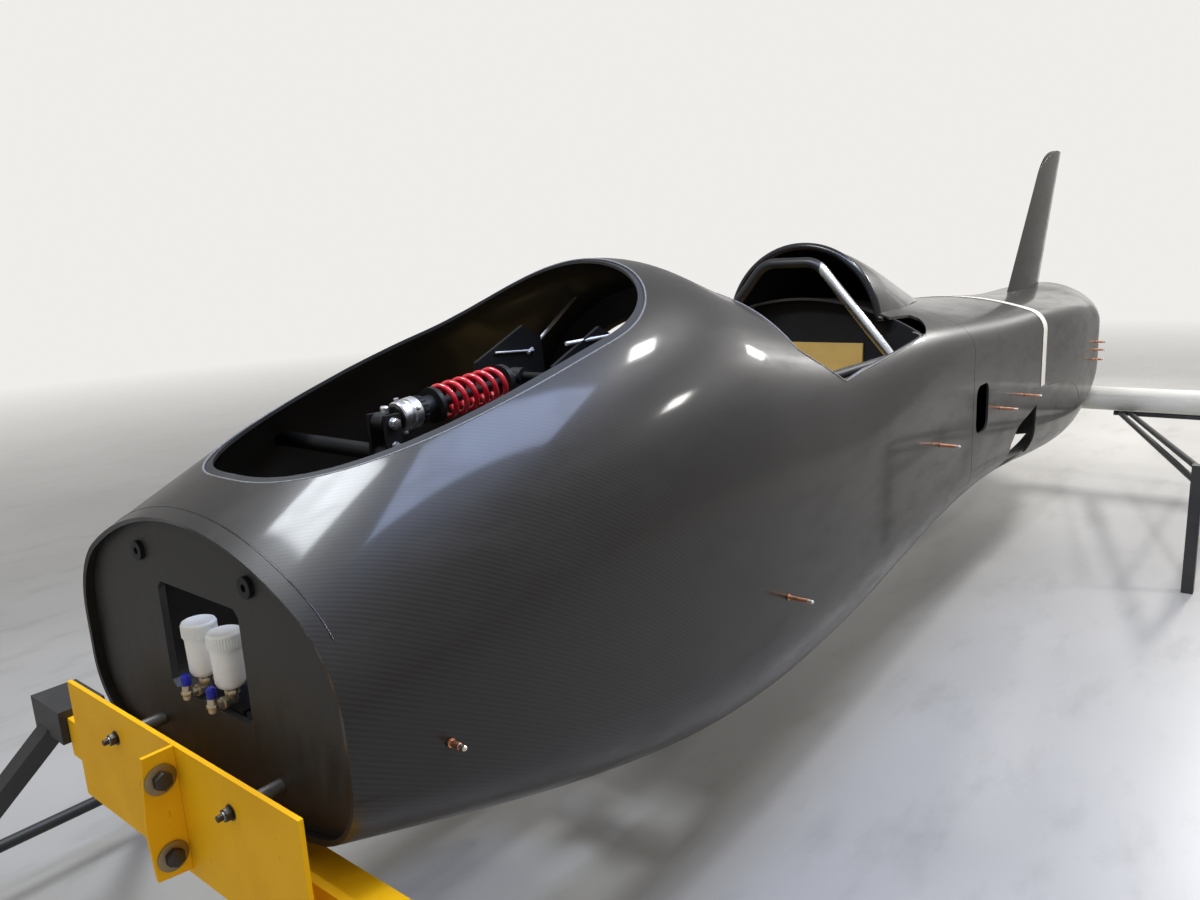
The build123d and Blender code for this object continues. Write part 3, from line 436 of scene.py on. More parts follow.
def cut_edge_and_highlight():
    """Trimmed and sanded laminate edge: grey, with darker ply ends; the light grey is also a painted
    highlight for the light these thin edges catch.
    """
    shade, place = placed_shade("cut_edge_and_highlight")
    ply = shade.noise(place, 320.0, 3.0, 0.6)
    return shade.made(
        # painted highlight in part: the light grey stands for both the sanded edge and the light the beads
        # catch
        Base_Color=shade.blend(ply.between(0.35, 0.65), (0.20, 0.20, 0.205), (0.075, 0.074, 0.073)),
        Roughness=0.38 + ply * 0.15,
        Normal=shade.bump(ply, 0.0003, 0.5),
    )


FINISH = {
    "carbon": carbon_gloss(),
    "carbon_matte": carbon_dull(),
    "bulkhead": bulkhead_laminate(),
    "yellow_paint": painted(
        "yellow_paint", (0.93, 0.50, 0.006), (0.66, 0.29, 0.003), 0.46, 0.45, shine=0.16
    ),
    "black_paint": painted("black_paint", (0.020, 0.020, 0.021), (0.060, 0.055, 0.048), 0.42, 0.5),
    "steel": bare_metal("plated_steel", (0.42, 0.41, 0.40), 0.34),
    "hoop_tube": hoop_finish(),
    "dark_bolt": bare_metal("oiled_bolt", (0.085, 0.080, 0.074), 0.42, tint=(0.14, 0.09, 0.05)),
    "washer": bare_metal("passivated_washer", (0.36, 0.29, 0.17), 0.38, tint=(0.20, 0.13, 0.06)),
    "aluminium": bare_metal("machined_aluminium", (0.68, 0.68, 0.69), 0.28),
    "black_alloy": painted(
        "anodised_alloy", (0.007, 0.007, 0.008), (0.018, 0.017, 0.016), 0.40, 0.4, 0.0001, 0.3
    ),
    # painted shade in part: this near-black of the seat back and the damper tower and bracket is also
    # darkened to stand for the shade inside the cockpit and hatch
    "cabin_black_and_shade": painted(
        "cabin_black_and_shade", (0.006, 0.006, 0.006), (0.014, 0.013, 0.012), 0.60, 0.5, 0.0003, 0.2
    ),
    "brass": bare_metal("fitting_metal", (0.66, 0.60, 0.47), 0.30, tint=(0.45, 0.36, 0.22)),
    "white_plastic": milky_plastic(),
    "blue_plastic": moulded("blue_plastic", (0.016, 0.026, 0.46), 0.30),
    "red_spring": spring_coat(),
    "copper": bare_metal("copper_plate", (0.74, 0.36, 0.20), 0.30, tint=(0.46, 0.22, 0.11)),
    "rod": bare_metal("dull_rod", (0.86, 0.86, 0.85), 0.55),
    "pin_tip": bare_metal("pin_tip", (0.82, 0.74, 0.66), 0.22, tint=(0.6, 0.45, 0.35)),
    "ochre": aramid_cloth(),
    "battery": moulded("case_black", (0.030, 0.030, 0.033), 0.5),
    "foam": foam_sleeve(),
    "tape": cloth_tape(),
    "edge": cut_edge_and_highlight(),
    "rim": moulded("rim_gloss", (0.008, 0.008, 0.009), 0.16),
}


# The body's form


def oval_arc_points(half, rise, small, big_steps, small_steps):
    """A quarter oval from its top to its side, as two tangent arcs."""
    reach = half - small
    big = (reach**2 + rise**2 - small**2) / (2 * (rise - small))
    turn = atan((big - rise) / reach)
    points = []
    for step in range(big_steps):
        angle = pi / 2 + (turn - pi / 2) * step / big_steps
        points.append((big * cos(angle), rise - big + big * sin(angle)))
    for step in range(small_steps):
        angle = turn * (1 - step / small_steps)
        points.append((reach + small * cos(angle), small * sin(angle)))
    return points


def half_section(row, inset):
    """Lateral and height of a section's points, from the crown down the left side to the belly."""
    _, half, belly, low, high, crown, corner, shoulder = row
    half -= inset
    upper = oval_arc_points(half, crown - inset - high, shoulder - inset, TOP_STEPS, SHOULDER_STEPS)
    lower = oval_arc_points(half, low - belly - inset, corner - inset, BOTTOM_STEPS, CORNER_STEPS)
    points = [(y, high + z) for y, z in upper]
    for step in range(SIDE_STEPS + 1):
        points.append((half, high + (low - high) * step / SIDE_STEPS))
    points += [(y, low - z) for y, z in lower[::-1]]
    return points


class Form:
    """The body's surface moved in by an inset: each point of its sections follows a natural cubic spline."""

    def __init__(self, inset=0.0):
        self.x = np.array([row[0] for row in SECTIONS])
        self.y = np.array([half_section(row, inset) for row in SECTIONS])
        count, gap = len(self.x), np.diff(self.x)
        matrix, right = np.zeros((count, count)), np.zeros_like(self.y)
        matrix[0, 0] = matrix[-1, -1] = 1.0
        for i in range(1, count - 1):
            matrix[i, i - 1 : i + 2] = gap[i - 1], 2 * (gap[i - 1] + gap[i]), gap[i]
            after = (self.y[i + 1] - self.y[i]) / gap[i]
            before = (self.y[i] - self.y[i - 1]) / gap[i - 1]
            right[i] = 3 * (after - before)
        self.bend = np.linalg.solve(matrix, right.reshape(count, -1)).reshape(self.y.shape)
        self.gap = gap

    def half_ring(self, station):
        """Crown to belly on the left side."""
        i = int(np.clip(np.searchsorted(self.x, station) - 1, 0, len(self.gap) - 1))
        gap, along = self.gap[i], station - self.x[i]
        rate = (self.bend[i + 1] - self.bend[i]) / (3 * gap)
        slope = (self.y[i + 1] - self.y[i]) / gap - gap * (self.bend[i + 1] + 2 * self.bend[i]) / 3
        return self.y[i] + slope * along + self.bend[i] * along**2 + rate * along**3

    def ring(self, station):
        """The whole section from the belly up the right side, over the crown and down the left side."""
        half = self.half_ring(station)
        right = half[::-1] * (-1, 1)
        return np.concatenate([right, half[1:]])

    def height(self, station, lateral):
        """Height of the upper skin at a lateral place."""
        upper = self.half_ring(station)[: TOP_STEPS + SHOULDER_STEPS + 1]
        return float(np.interp(abs(lateral), upper[:, 0], upper[:, 1]))

    def reach(self, station, height):
        """Half width of the body at a height."""
        upwards = self.half_ring(station)[::-1]
        return float(np.interp(height, upwards[:, 1], upwards[:, 0]))


OUTER = Form()


# Mesh helpers


def linked(name, data):
    """A new object in the scene."""
    thing = bpy.data.objects.new(name, data)
    scene.collection.objects.link(thing)
    return thing


def loose_object(name, bm):
    """A mesh object from a bmesh, which it uses up."""
    mesh = bpy.data.meshes.new(name)
    bm.to_mesh(mesh)
    bm.free()
    return linked(name, mesh)


def dress(piece, finishes, replaces=(), sharp=32.0, body="root"):
    """Give a piece its finishes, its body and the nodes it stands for."""
    piece.data.materials.clear()
    for finish in finishes:
        piece.data.materials.append(FINISH[finish])
    piece.data.shade_smooth()
    piece.data.set_sharp_from_angle(angle=radians(sharp))
    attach(piece, body)
    if replaces:
        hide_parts(*replaces)
    return piece


def finish_piece(name, bm, finish, *replaces, slot=None, sharp=32.0):
    """Turn a bmesh into a named piece of the root body."""
    return dress(loose_object(name, bm), [finish], replaces, sharp)


def settle(piece):
    """Apply a piece's modifiers to its mesh."""
    graph = bpy.context.evaluated_depsgraph_get()
    old = piece.data
    piece.data = bpy.data.meshes.new_from_object(piece.evaluated_get(graph))
    piece.data.name = old.name
    piece.modifiers.clear()
    bpy.data.meshes.remove(old)
    return piece


def soften_edges(piece):
    soften = piece.modifiers.new("edge", "BEVEL")
    soften.width = EDGE
    soften.segments = 2
    soften.limit_method = "ANGLE"
    soften.angle_limit = radians(40)
    soften.harden_normals = True


def prism(points, way):
    """A closed block from a flat outline pushed along a vector."""
    bm = bmesh.new()
    face = bm.faces.new([bm.verts.new(point) for point in points])
    pushed = bmesh.ops.extrude_face_region(bm, geom=[face])
    corners = [part for part in pushed["geom"] if isinstance(part, bmesh.types.BMVert)]
    bmesh.ops.translate(bm, verts=corners, vec=way)
    bmesh.ops.recalc_face_normals(bm, faces=bm.faces)
    return bm


def cut(piece, cutters, mode="DIFFERENCE"):
    """Take closed blocks out of a piece, or keep only what is inside them."""
    tools = [loose_object("cutter", bm) for bm in cutters]
    for tool in tools:
        knife = piece.modifiers.new("cut", "BOOLEAN")
        knife.operation = mode
        knife.solver = "EXACT"
        knife.object = tool
    settle(piece)
    for tool in tools:
        bpy.data.objects.remove(tool)
    return piece


def bar(bm, start, end, radius, sides=24):
    """A round bar between two points."""
    run = end - start
    turn = run.to_track_quat("Z", "Y").to_matrix().to_4x4()
    place = Matrix.Translation((start + end) / 2) @ turn
    return bmesh.ops.create_cone(
        bm, cap_ends=True, segments=sides, radius1=radius, radius2=radius, depth=run.length, matrix=place
    )


def edges_of(verts):
    return list({edge for vert in verts for edge in vert.link_edges})


def turned(bm, start, way, profile, sides=32):
    """A turned part: rows of distance along its axis and radius, spun about the axis."""
    axis = way.normalized()
    side = axis.orthogonal().normalized()
    verts = [bm.verts.new(start + axis * along + side * radius) for along, radius in profile]
    edges = [bm.edges.new(pair) for pair in zip(verts, verts[1:])]
    bmesh.ops.spin(bm, geom=verts + edges, cent=start, axis=axis, angle=2 * pi, steps=sides, use_merge=True)
    bmesh.ops.remove_doubles(bm, verts=bm.verts, dist=1e-6)
    bmesh.ops.recalc_face_normals(bm, faces=bm.faces)


def round_edges(bm, verts, width):
    size = {"offset": width, "segments": 2, "profile": 0.5, "clamp_overlap": True}
    bmesh.ops.bevel(bm, geom=edges_of(verts), affect="EDGES", material=-1, **size)


def swept(name, points, radius, closed):
    """A round section carried along a smooth line, as a mesh."""
    curve = bpy.data.curves.new(name, "CURVE")
    curve.dimensions = "3D"
    curve.bevel_depth = radius
    curve.bevel_resolution = 3
    curve.use_fill_caps = True
    curve.resolution_u = 3
    spline = curve.splines.new("NURBS")
    spline.points.add(len(points) - 1)
    for slot, point in zip(spline.points, points):
        slot.co = (*point, 1.0)
    spline.order_u = 4
    spline.use_cyclic_u = closed
    spline.use_endpoint_u = not closed
    holder = linked(name, curve)
    mesh = bpy.data.meshes.new_from_object(holder.evaluated_get(bpy.context.evaluated_depsgraph_get()))
    mesh.name = name
    bpy.data.objects.remove(holder)
    return linked(name, mesh)


def finished_copy(node, finish):
    """A welded copy of a CAD node with smooth shading and softened edges, which stands for the node."""
    source = nodes[node]
    bm = bmesh.new()
    bm.from_mesh(source.data)
    bmesh.ops.remove_doubles(bm, verts=bm.verts, dist=WELD)
    bmesh.ops.dissolve_limit(bm, angle_limit=radians(0.5), verts=bm.verts, edges=bm.edges)
    piece = loose_object(node + "_finished", bm)
    dress(piece, [finish], [node], body=body_of(source)[0])
    soften_edges(piece)


# Skins


def even_stations(front, rear, step):
    count = max(2, round((rear - front) / step))
    return [front + (rear - front) * i / count for i in range(count + 1)]


def skin_sheet(stations, form=OUTER):
    """The body's surface as an open sheet of quads, with the cloth chart in metres."""
    rings = [form.ring(station) for station in stations]
    columns, rows = len(stations) - 1, len(rings[0]) - 1
    bm = bmesh.new()
    bmesh.ops.create_grid(bm, x_segments=columns, y_segments=rows, size=1.0)
    chart = bm.loops.layers.uv.new(CLOTH_CHART)
    spread = []
    for ring in rings:
        steps = np.linalg.norm(np.diff(ring, axis=0), axis=1)
        length = np.concatenate([[0.0], np.cumsum(steps)])
        spread.append(length - length[-1] / 2)
    place = {}
    for vert in bm.verts:
        place[vert] = round((vert.co.x + 1) / 2 * columns), round((vert.co.y + 1) / 2 * rows)
    for face in bm.faces:
        for loop in face.loops:
            i, j = place[loop.vert]
            loop[chart].uv = (stations[i], spread[i][j])
    for vert, (i, j) in place.items():
        lateral, height = rings[i][j]
        vert.co = at(stations[i], lateral, height)
    bmesh.ops.remove_doubles(bm, verts=bm.verts, dist=WELD)
    return bm


def face_outwards(bm):
    """Point every face of an open sheet away from the body's middle line."""
    for face in bm.faces:
        middle = face.calc_center_median()
        if face.normal.dot(middle - Vector((middle.x, 0, CORE_HEIGHT))) < 0:
            face.normal_flip()


def walled(bm, name, thickness=WALL):
    """A sheet given a thickness inwards."""
    face_outwards(bm)
    piece = loose_object(name, bm)
    wall = piece.modifiers.new("wall", "SOLIDIFY")
    wall.thickness = thickness
    wall.offset = -1.0
    wall.use_even_offset = True
    wall.use_rim = True
    wall.material_offset = 1
    piece.data.materials.append(None)
    piece.data.materials.append(None)
    return settle(piece)


ON_SHEET = 0.0006  # how near to the uncut sheet an outer face lies


def true_reflections(piece, sheet):
    """Give the outer faces the uncut sheet's own normals, so that cuts leave no ripples in the gloss."""
    tree = BVHTree.FromBMesh(sheet)
    sheet.normal_update()
    sheet.faces.ensure_lookup_table()
    mesh = piece.data
    normals = [tuple(corner.vector) for corner in mesh.corner_normals]
    for face in mesh.polygons:
        distance = tree.find_nearest(face.center)[3]
        if distance > ON_SHEET:
            continue
        for index in face.loop_indices:
            point = mesh.vertices[mesh.loops[index].vertex_index].co
            hit = tree.find_nearest(point)[2]
            total = Vector((0, 0, 0))
            for vert in sheet.faces[hit].verts:
                total += vert.normal * (1.0 / (1e-9 + (vert.co - point).length_squared))
            normals[index] = tuple(total.normalized())
    mesh.normals_split_custom_set(normals)


def hatch_line(grow=0.0, steps=128):
    """Station and lateral round the hatch: two half superellipses that share their widest line."""
    points = []
    for step in range(steps):
        along, across = cos(2 * pi * step / steps), sin(2 * pi * step / steps)
        reach = (HATCH_WIDEST - HATCH_FRONT if along < 0 else HATCH_REAR - HATCH_WIDEST) + grow
        size = (abs(along) ** HATCH_POWER + abs(across) ** HATCH_POWER) ** (-1 / HATCH_POWER)
        points.append((HATCH_WIDEST + reach * along * size, (HATCH_HALF + grow) * across * size))
    return points


def hatch_block(grow=0.0):
    return prism([at(*point, HATCH_FOOT) for point in hatch_line(grow)], UP * CUT_HEIGHT)


def pulled(start, corner, end, t):
    """A point of the curve between two points that a corner pulls on."""
    return start * (1 - t) ** 2 + corner * 2 * t * (1 - t) + end * t**2


def rounded_outline(corners, steps=6):
    """A flat outline whose corners are rounded; each row is station, height and corner radius."""
    points = []
    count = len(corners)
    for i, (station, height, radius) in enumerate(corners):
        here = Vector((station, height))
        before = (Vector(corners[i - 1][:2]) - here).normalized()
        after = (Vector(corners[(i + 1) % count][:2]) - here).normalized()
        if not radius:
            points.append(here)
            continue
        half_turn = before.angle(after) / 2
        start, end = here + before * radius / np.tan(half_turn), here + after * radius / np.tan(half_turn)
        points += [pulled(start, here, end, step / steps) for step in range(steps + 1)]
    return points


def cross_block(corners):
    """A side outline pushed right across the body."""
    points = [at(point[0], -OUTSIDE, point[1]) for point in rounded_outline(corners)]
    return prism(points, LEFT * 2 * OUTSIDE)


COCKPIT_OUTLINE = (
    (COCKPIT_FRONT, 1.500, 0),
    (COCKPIT_FRONT, COCKPIT_NECK, 0.02),
    (*COCKPIT_CORNER, 0.03),
    (*SILL_REAR, 0.012),
    (COCKPIT_REAR, SILL_REAR[1] + 0.060, 0.012),
    (COCKPIT_REAR, 1.500, 0),
)
ARCH_OUTLINE = (
    (ARCH_FRONT, ARCH_LOW, 0.0),
    (ARCH_FRONT, ARCH_FRONT_Z, 0.0),
    ((ARCH_FRONT + ARCH_REAR) / 2 - 0.095, ARCH_HIGH - 0.047, 0.10),
    (ARCH_REAR - 0.060, ARCH_HIGH - 0.012, 0.10),
    (ARCH_REAR, ARCH_HIGH, 0.0),
    (ARCH_REAR - 0.020, ARCH_LOW, 0.0),
)
SLOT_OUTLINE = tuple(
    (SLOT_STATION + SLOT_WIDTH / 2 * across, SLOT_LOW if low else SLOT_HIGH, SLOT_CORNER)
    for across, low in ((-1, True), (-1, False), (1, False), (1, True))
)


def pocket_blocks():
    """The cuts beside the headrest fairing's foot, open to the cockpit."""
    blocks = []
    front, corner = COCKPIT_REAR - POCKET_OVERLAP, SILL_REAR[0]
    start, end = Vector((corner, POCKET_OUTSIDE)), Vector((POCKET_REAR, POCKET_INSIDE + POCKET_TIP))
    bow = Vector(((start.x + end.x) / 2 + POCKET_BOW[0], POCKET_OUTSIDE - POCKET_BOW[1]))
    curve = [pulled(start, bow, end, t) for t in np.linspace(0, 1, 12)]
    rim = [(front, POCKET_INSIDE), (front, OUTSIDE), (corner, OUTSIDE), *curve]
    rim.append((POCKET_REAR - POCKET_END, POCKET_INSIDE))
    for side in SIDES:
        foot = [at(station, side * out, SILL_REAR[1]) for station, out in rim]
        blocks.append(prism(foot, UP * CUT_HEIGHT))
    return blocks


def well_block(front, rear):
    plan = ((front, -WELL_HALF), (rear, -WELL_HALF), (rear, WELL_HALF), (front, WELL_HALF))
    return prism([at(*point, WELL_FOOT) for point in plan], UP * (WELL_TOP - WELL_FOOT))


SKIN_SHARP = 28.0  # degrees
FRONT_STEP, TAIL_STEP = 0.028, 0.030


def skin(name, stations, cutters, replaced):
    """One shell: its walled sheet, cut, with the sheet's own gloss."""
    sheet = skin_sheet(stations)
    face_outwards(sheet)
    keep = sheet.copy()
    piece = walled(sheet, name)
    cut(piece, cutters)
    dress(piece, ["carbon", "carbon_matte"], [replaced], SKIN_SHARP)
    true_reflections(piece, keep)
    keep.free()


front_cuts = [hatch_block(), cross_block(COCKPIT_OUTLINE), *pocket_blocks(), well_block(*WELLS[0])]
rear_cuts = [cross_block(SLOT_OUTLINE), cross_block(ARCH_OUTLINE), well_block(*WELLS[1])]
skin("front_skin", even_stations(-LIP, SEAM - SEAM_GAP / 2, FRONT_STEP), front_cuts, "front_shell")
skin("tail_skin", even_stations(SEAM + SEAM_GAP / 2, TAIL_END, TAIL_STEP), rear_cuts, "tail_shell")


# Front panel, hatch ledge and trimmed edges

WINDOW_HALF, WINDOW_LOW, WINDOW_HIGH, WINDOW_CORNER = 0.125, 0.722, 0.912, 0.012
PANEL, PANEL_GAP = 0.012, 0.0002
BOSS_Y, BOSS_Z, BOSS_BORE_R = 0.167, 0.958, 0.006
SPACER_Y, SPACER_Z, SPACER_R = 0.184, 0.645, 0.011
THROUGH, BORE_END = 0.030, 0.040  # how far cutters reach past the panel's face and behind it
LEDGE_STATIONS, LEDGE_UNDER = (0.040, 1.040, 0.025), 0.004
HATCH_BEAD_R, HATCH_BEAD_SINK = 0.0021, 0.0012
SILL_BEAD_R, SILL_BEAD_SINK, SILL_BEAD_STEP = 0.0024, 0.0006, 0.05


def front_panel():
    """The bulkhead: a panel inside the lip, with its window and bores."""
    outline = [at(0.0, *point) for point in Form(WALL + PANEL_GAP).ring(0.0)[:-1]]
    piece = loose_object("front_panel", prism(outline, AHEAD * -PANEL))
    y, low, high, corner = WINDOW_HALF, WINDOW_LOW, WINDOW_HIGH, WINDOW_CORNER
    right_side = [(y - corner, low), (y, low + corner), (y, high - corner), (y - corner, high)]
    window = right_side + [(-lateral, height) for lateral, height in right_side[::-1]]
    tools = [prism([at(-THROUGH, *point) for point in window], AHEAD * -2 * THROUGH)]
    for side in SIDES:
        for y, z, radius in ((BOSS_Y, BOSS_Z, BOSS_BORE_R), (SPACER_Y, SPACER_Z, SPACER_R)):
            bore = bmesh.new()
            bar(bore, at(-THROUGH, side * y, z), at(BORE_END, side * y, z), radius)
            tools.append(bore)
    cut(piece, tools)
    dress(piece, ["bulkhead"], ["front_bulkhead"])
    soften_edges(piece)


def hatch_ledge():
    """The joggled ledge round the hatch that its cover sits on."""
    sheet = skin_sheet(even_stations(*LEDGE_STATIONS), Form(LEDGE_DROP))
    piece = walled(sheet, "hatch_ledge", LEDGE_T)
    cut(piece, [hatch_block(LEDGE_UNDER)], "INTERSECT")
    cut(piece, [hatch_block(-LEDGE)])
    dress(piece, ["carbon_matte"], ["hatch_rim"], SKIN_SHARP)


def edge_bead(name, points, radius, finish="edge", closed=False):
    """A trimmed edge's thin bead along a line."""
    dress(swept(name, points, radius, closed), [finish], (), 60.0)


def on_skin(station, height, side):
    """A point of the outer skin at a height."""
    return at(station, side * OUTER.reach(station, height), height)


def hatch_bead():
    points = [at(*point, OUTER.height(*point) - HATCH_BEAD_SINK) for point in hatch_line(steps=160)]
    edge_bead("hatch_bead", points, HATCH_BEAD_R, closed=True)


def cockpit_beads():
    """The sill and neck edges on each side, from the crown down and back to the pocket."""
    path = rounded_outline(((COCKPIT_FRONT, 1.300, 0), *COCKPIT_OUTLINE[1:4]), 8)
    for side, word in zip(SIDES, ("right", "left")):
        points = [on_skin(COCKPIT_FRONT, height, side) for height in np.linspace(1.290, 1.180, 8)]
        for start, end in zip(path[1:], path[2:]):
            count = max(1, round((end - start).length / SILL_BEAD_STEP))
            for step in range(count):
                station, height = start + (end - start) * step / count
                points.append(on_skin(station, height, side) - UP * SILL_BEAD_SINK)
        edge_bead("sill_bead_" + word, points, SILL_BEAD_R)


# Hood mouth: where it is, its arch's foot as a share of its half width and height, and its lip
HOOD_STATION, HOOD_HALF, HOOD_BASE, HOOD_CROWN = 2.092, 0.285, 1.000, 1.402
HOOD_SIDE, HOOD_SHOULDER = 0.93, 0.40
RIM_R, RIM_DROP = 0.0125, 0.008


def hood_rim():
    """The hood mouth's thick glossy lip: an arch on two short feet."""
    side_y = HOOD_HALF * HOOD_SIDE
    rise = HOOD_CROWN - (HOOD_BASE + (HOOD_CROWN - HOOD_BASE) * HOOD_SHOULDER)
    radius = (side_y**2 + rise**2) / (2 * rise)
    turn = np.arcsin(side_y / radius)
    if rise > side_y:
        turn = pi - turn
    reach, centre = radius - RIM_DROP, HOOD_CROWN - radius
    line = [(sin(t) * reach, centre + cos(t) * reach) for t in np.linspace(-turn, turn, 41)]
    foot = OUTER.height(HOOD_STATION, HOOD_HALF) - 0.006
    line = [(RIM_DROP - HOOD_HALF, foot), *line, (HOOD_HALF - RIM_DROP, foot)]
    edge_bead("hood_rim", [at(HOOD_STATION + 0.004, *point) for point in line], RIM_R, "rim")


LIP_LINE, LIP_LINE_LOW, LIP_LINE_SINK, LIP_LINE_R = 0.006, 0.905, 0.0008, 0.0016  # station first


def lip_line():
    """The dark joggle that runs over the nose just behind its lip and dies out on the shoulders."""
    half = [(y, z - LIP_LINE_SINK) for y, z in OUTER.half_ring(LIP_LINE) if z > LIP_LINE_LOW]
    line = [(-y, z) for y, z in half[:0:-1]] + half
    edge_bead("lip_line", [at(LIP_LINE, *point) for point in line], LIP_LINE_R, "rim")


SPAT_LINE = (  # station and height
    (3.560, 0.758),
    (3.683, 0.754),
    (3.890, 0.733),
    (4.090, 0.692),
    (4.200, 0.632),
    (4.262, 0.556),
    (4.250, 0.480),
)
SPAT_LINE_SINK, SPAT_LINE_R = 0.0006, 0.0026


def spat_lines():
    """The fairing's dark joint line behind the wheel arch, on both flanks."""
    for side, word in zip(SIDES, ("right", "left")):
        points = [on_skin(*point, side) - LEFT * (side * SPAT_LINE_SINK) for point in SPAT_LINE]
        edge_bead("spat_line_" + word, points, SPAT_LINE_R, "rim")


front_panel()
lip_line()
spat_lines()
hatch_ledge()
hatch_bead()
cockpit_beads()
hood_rim()


# Damper with its open spring, clamp and screws; what lies along it is measured from its front eye

DAMPER_START, DAMPER_END = at(0.395, 0.0, 1.118), at(0.760, 0.0, 1.156)
DAMPER_WAY = (DAMPER_END - DAMPER_START).normalized()
SPRING_FROM, SPRING_TO, SPRING_R, SPRING_WIRE, SPRING_TURNS = 0.134, 0.302, 0.0325, 0.0058, 6
WIRE_SIDES, TURN_STEPS = 14, 32
CLAMP_ROWS = (  # along and radius, as in every turned part
    (0.030, 0.0222),
    (0.030, 0.0275),
    (0.033, 0.0300),
    (0.046, 0.0300),
    (0.048, 0.0270),
    (0.053, 0.0270),
    (0.055, 0.0310),
    (0.072, 0.0310),
    (0.075, 0.0285),
    (0.075, 0.0222),
    (0.030, 0.0222),
)
CLAMP_SCREWS = ((20, 0.039), (75, 0.063), (130, 0.039), (200, 0.063), (300, 0.039))  # degrees round, along
CLAMP_SCREW_FOOT, CLAMP_SCREW = 0.029, (0.009, 0.0065)
EYE_CAP_ROWS = ((0.016, 0), (0.016, 0.008), (0.026, 0.008), (0.029, 0.006), (0.029, 0))
PRELOAD_ROWS = (
    (0.076, 0.020),
    (0.076, 0.0265),
    (0.084, 0.0275),
    (0.092, 0.0265),
    (0.092, 0.020),
    (0.076, 0.020),
)
NOTCHES, NOTCH_REACH, NOTCH_FROM, NOTCH_TO, NOTCH_R = 18, 0.0272, 0.080, 0.089, 0.0016
LUG_FACE, ROCKER_FACE = 0.0285, 0.1185
LUG_SCREWS = (  # station, height, across flats, thickness, washer's radius
    (0.395, 1.118, 0.017, 0.009, 0.012),
    (0.395, 1.075, 0.013, 0.007, 0.009),
)
ROCKER_SCREWS = ((0.760, 1.156, 0.019, 0.009, 0.014), (0.905, 1.176, 0.013, 0.007, 0.010))
RODS = (  # from, to, radius and sides
    (at(0.905, -0.106, 1.186), at(1.270, -0.232, 1.318), 0.0042, 14),
    (at(0.800, 0.104, 1.222), at(1.015, 0.150, 1.232), 0.0042, 14),
    (at(0.800, -0.1065, 1.1975), at(0.925, -0.1065, 1.1895), 0.0024, 10),
)


def on_damper(along):
    return DAMPER_START + DAMPER_WAY * along


def round_damper(degrees):
    """A direction square to the damper."""
    return Matrix.Rotation(radians(degrees), 3, DAMPER_WAY) @ DAMPER_WAY.orthogonal().normalized()


def open_coil(bm, start, end, radius, wire, turns):
    """A round wire wound from one point to the other."""
    run = end - start
    axis = run.normalized()
    side = axis.orthogonal().normalized()
    face = side.cross(axis).to_track_quat("Z", "Y").to_matrix().to_4x4()
    place = Matrix.Translation(start + side * radius) @ face
    ring = bmesh.ops.create_circle(bm, cap_ends=False, segments=WIRE_SIDES, radius=wire, matrix=place)
    geom = ring["verts"] + edges_of(ring["verts"])
    steps = TURN_STEPS * turns
    bmesh.ops.spin(bm, geom=geom, cent=start, axis=axis, dvec=run / steps, angle=2 * pi * turns, steps=steps)
    bmesh.ops.holes_fill(bm, edges=[edge for edge in bm.edges if edge.is_boundary], sides=0)
    bmesh.ops.recalc_face_normals(bm, faces=bm.faces)


def hex_head(bm, start, way, across, height, washer=0.0):
    """A hexagon head or nut with a chamfered crown, on a washer if one is given."""
    way = way.normalized()
    if washer:
        thick = height * 0.16
        turned(bm, start, way, ((0, 0), (0, washer), (thick, washer), (thick, 0)), 32)
        start = start + way * height * 0.16
    made = bar(bm, start, start + way * height, across / sqrt(3), sides=6)
    round_edges(bm, made["verts"], across * 0.05)


def side_screws(bm, rows, reach):
    """The same screws on the right and on the left."""
    for side in SIDES:
        for station, height, *size in rows:
            hex_head(bm, at(station, side * reach, height), LEFT * side, *size)


def spring_coil():
    bm = bmesh.new()
    open_coil(bm, on_damper(SPRING_FROM), on_damper(SPRING_TO), SPRING_R, SPRING_WIRE, SPRING_TURNS)
    finish_piece("spring_coil", bm, "red_spring", "damper_spring", sharp=60.0)


def clamp_ring():
    bm = bmesh.new()
    turned(bm, DAMPER_START, DAMPER_WAY, CLAMP_ROWS, 40)
    for degrees, along in CLAMP_SCREWS:
        out = round_damper(degrees)
        hex_head(bm, on_damper(along) + out * CLAMP_SCREW_FOOT, out, *CLAMP_SCREW)
    finish_piece("damper_clamp_ring", bm, "aluminium", "damper_clamp")


def eye_screws():
    bm = bmesh.new()
    side_screws(bm, LUG_SCREWS, LUG_FACE)
    turned(bm, on_damper(0.004), UP, EYE_CAP_ROWS, 20)
    finish_piece("damper_screws", bm, "aluminium")


def preload_ring():
    bm = bmesh.new()
    turned(bm, on_damper(0.0), DAMPER_WAY, PRELOAD_ROWS, 36)
    for number in range(NOTCHES):
        out = round_damper(360 * number / NOTCHES) * NOTCH_REACH
        bar(bm, on_damper(NOTCH_FROM) + out, on_damper(NOTCH_TO) + out, NOTCH_R, sides=6)
    finish_piece("preload_ring", bm, "black_alloy")


def rocker_rods():
    """The rods beside the damper and the screws of its rocker."""
    bm = bmesh.new()
    for rod in RODS:
        bar(bm, *rod)
    side_screws(bm, ROCKER_SCREWS, ROCKER_FACE)
    finish_piece("rocker_rods", bm, "rod", slot="steel")


spring_coil()
clamp_ring()
eye_screws()
preload_ring()
rocker_rods()


# Fluid reservoirs

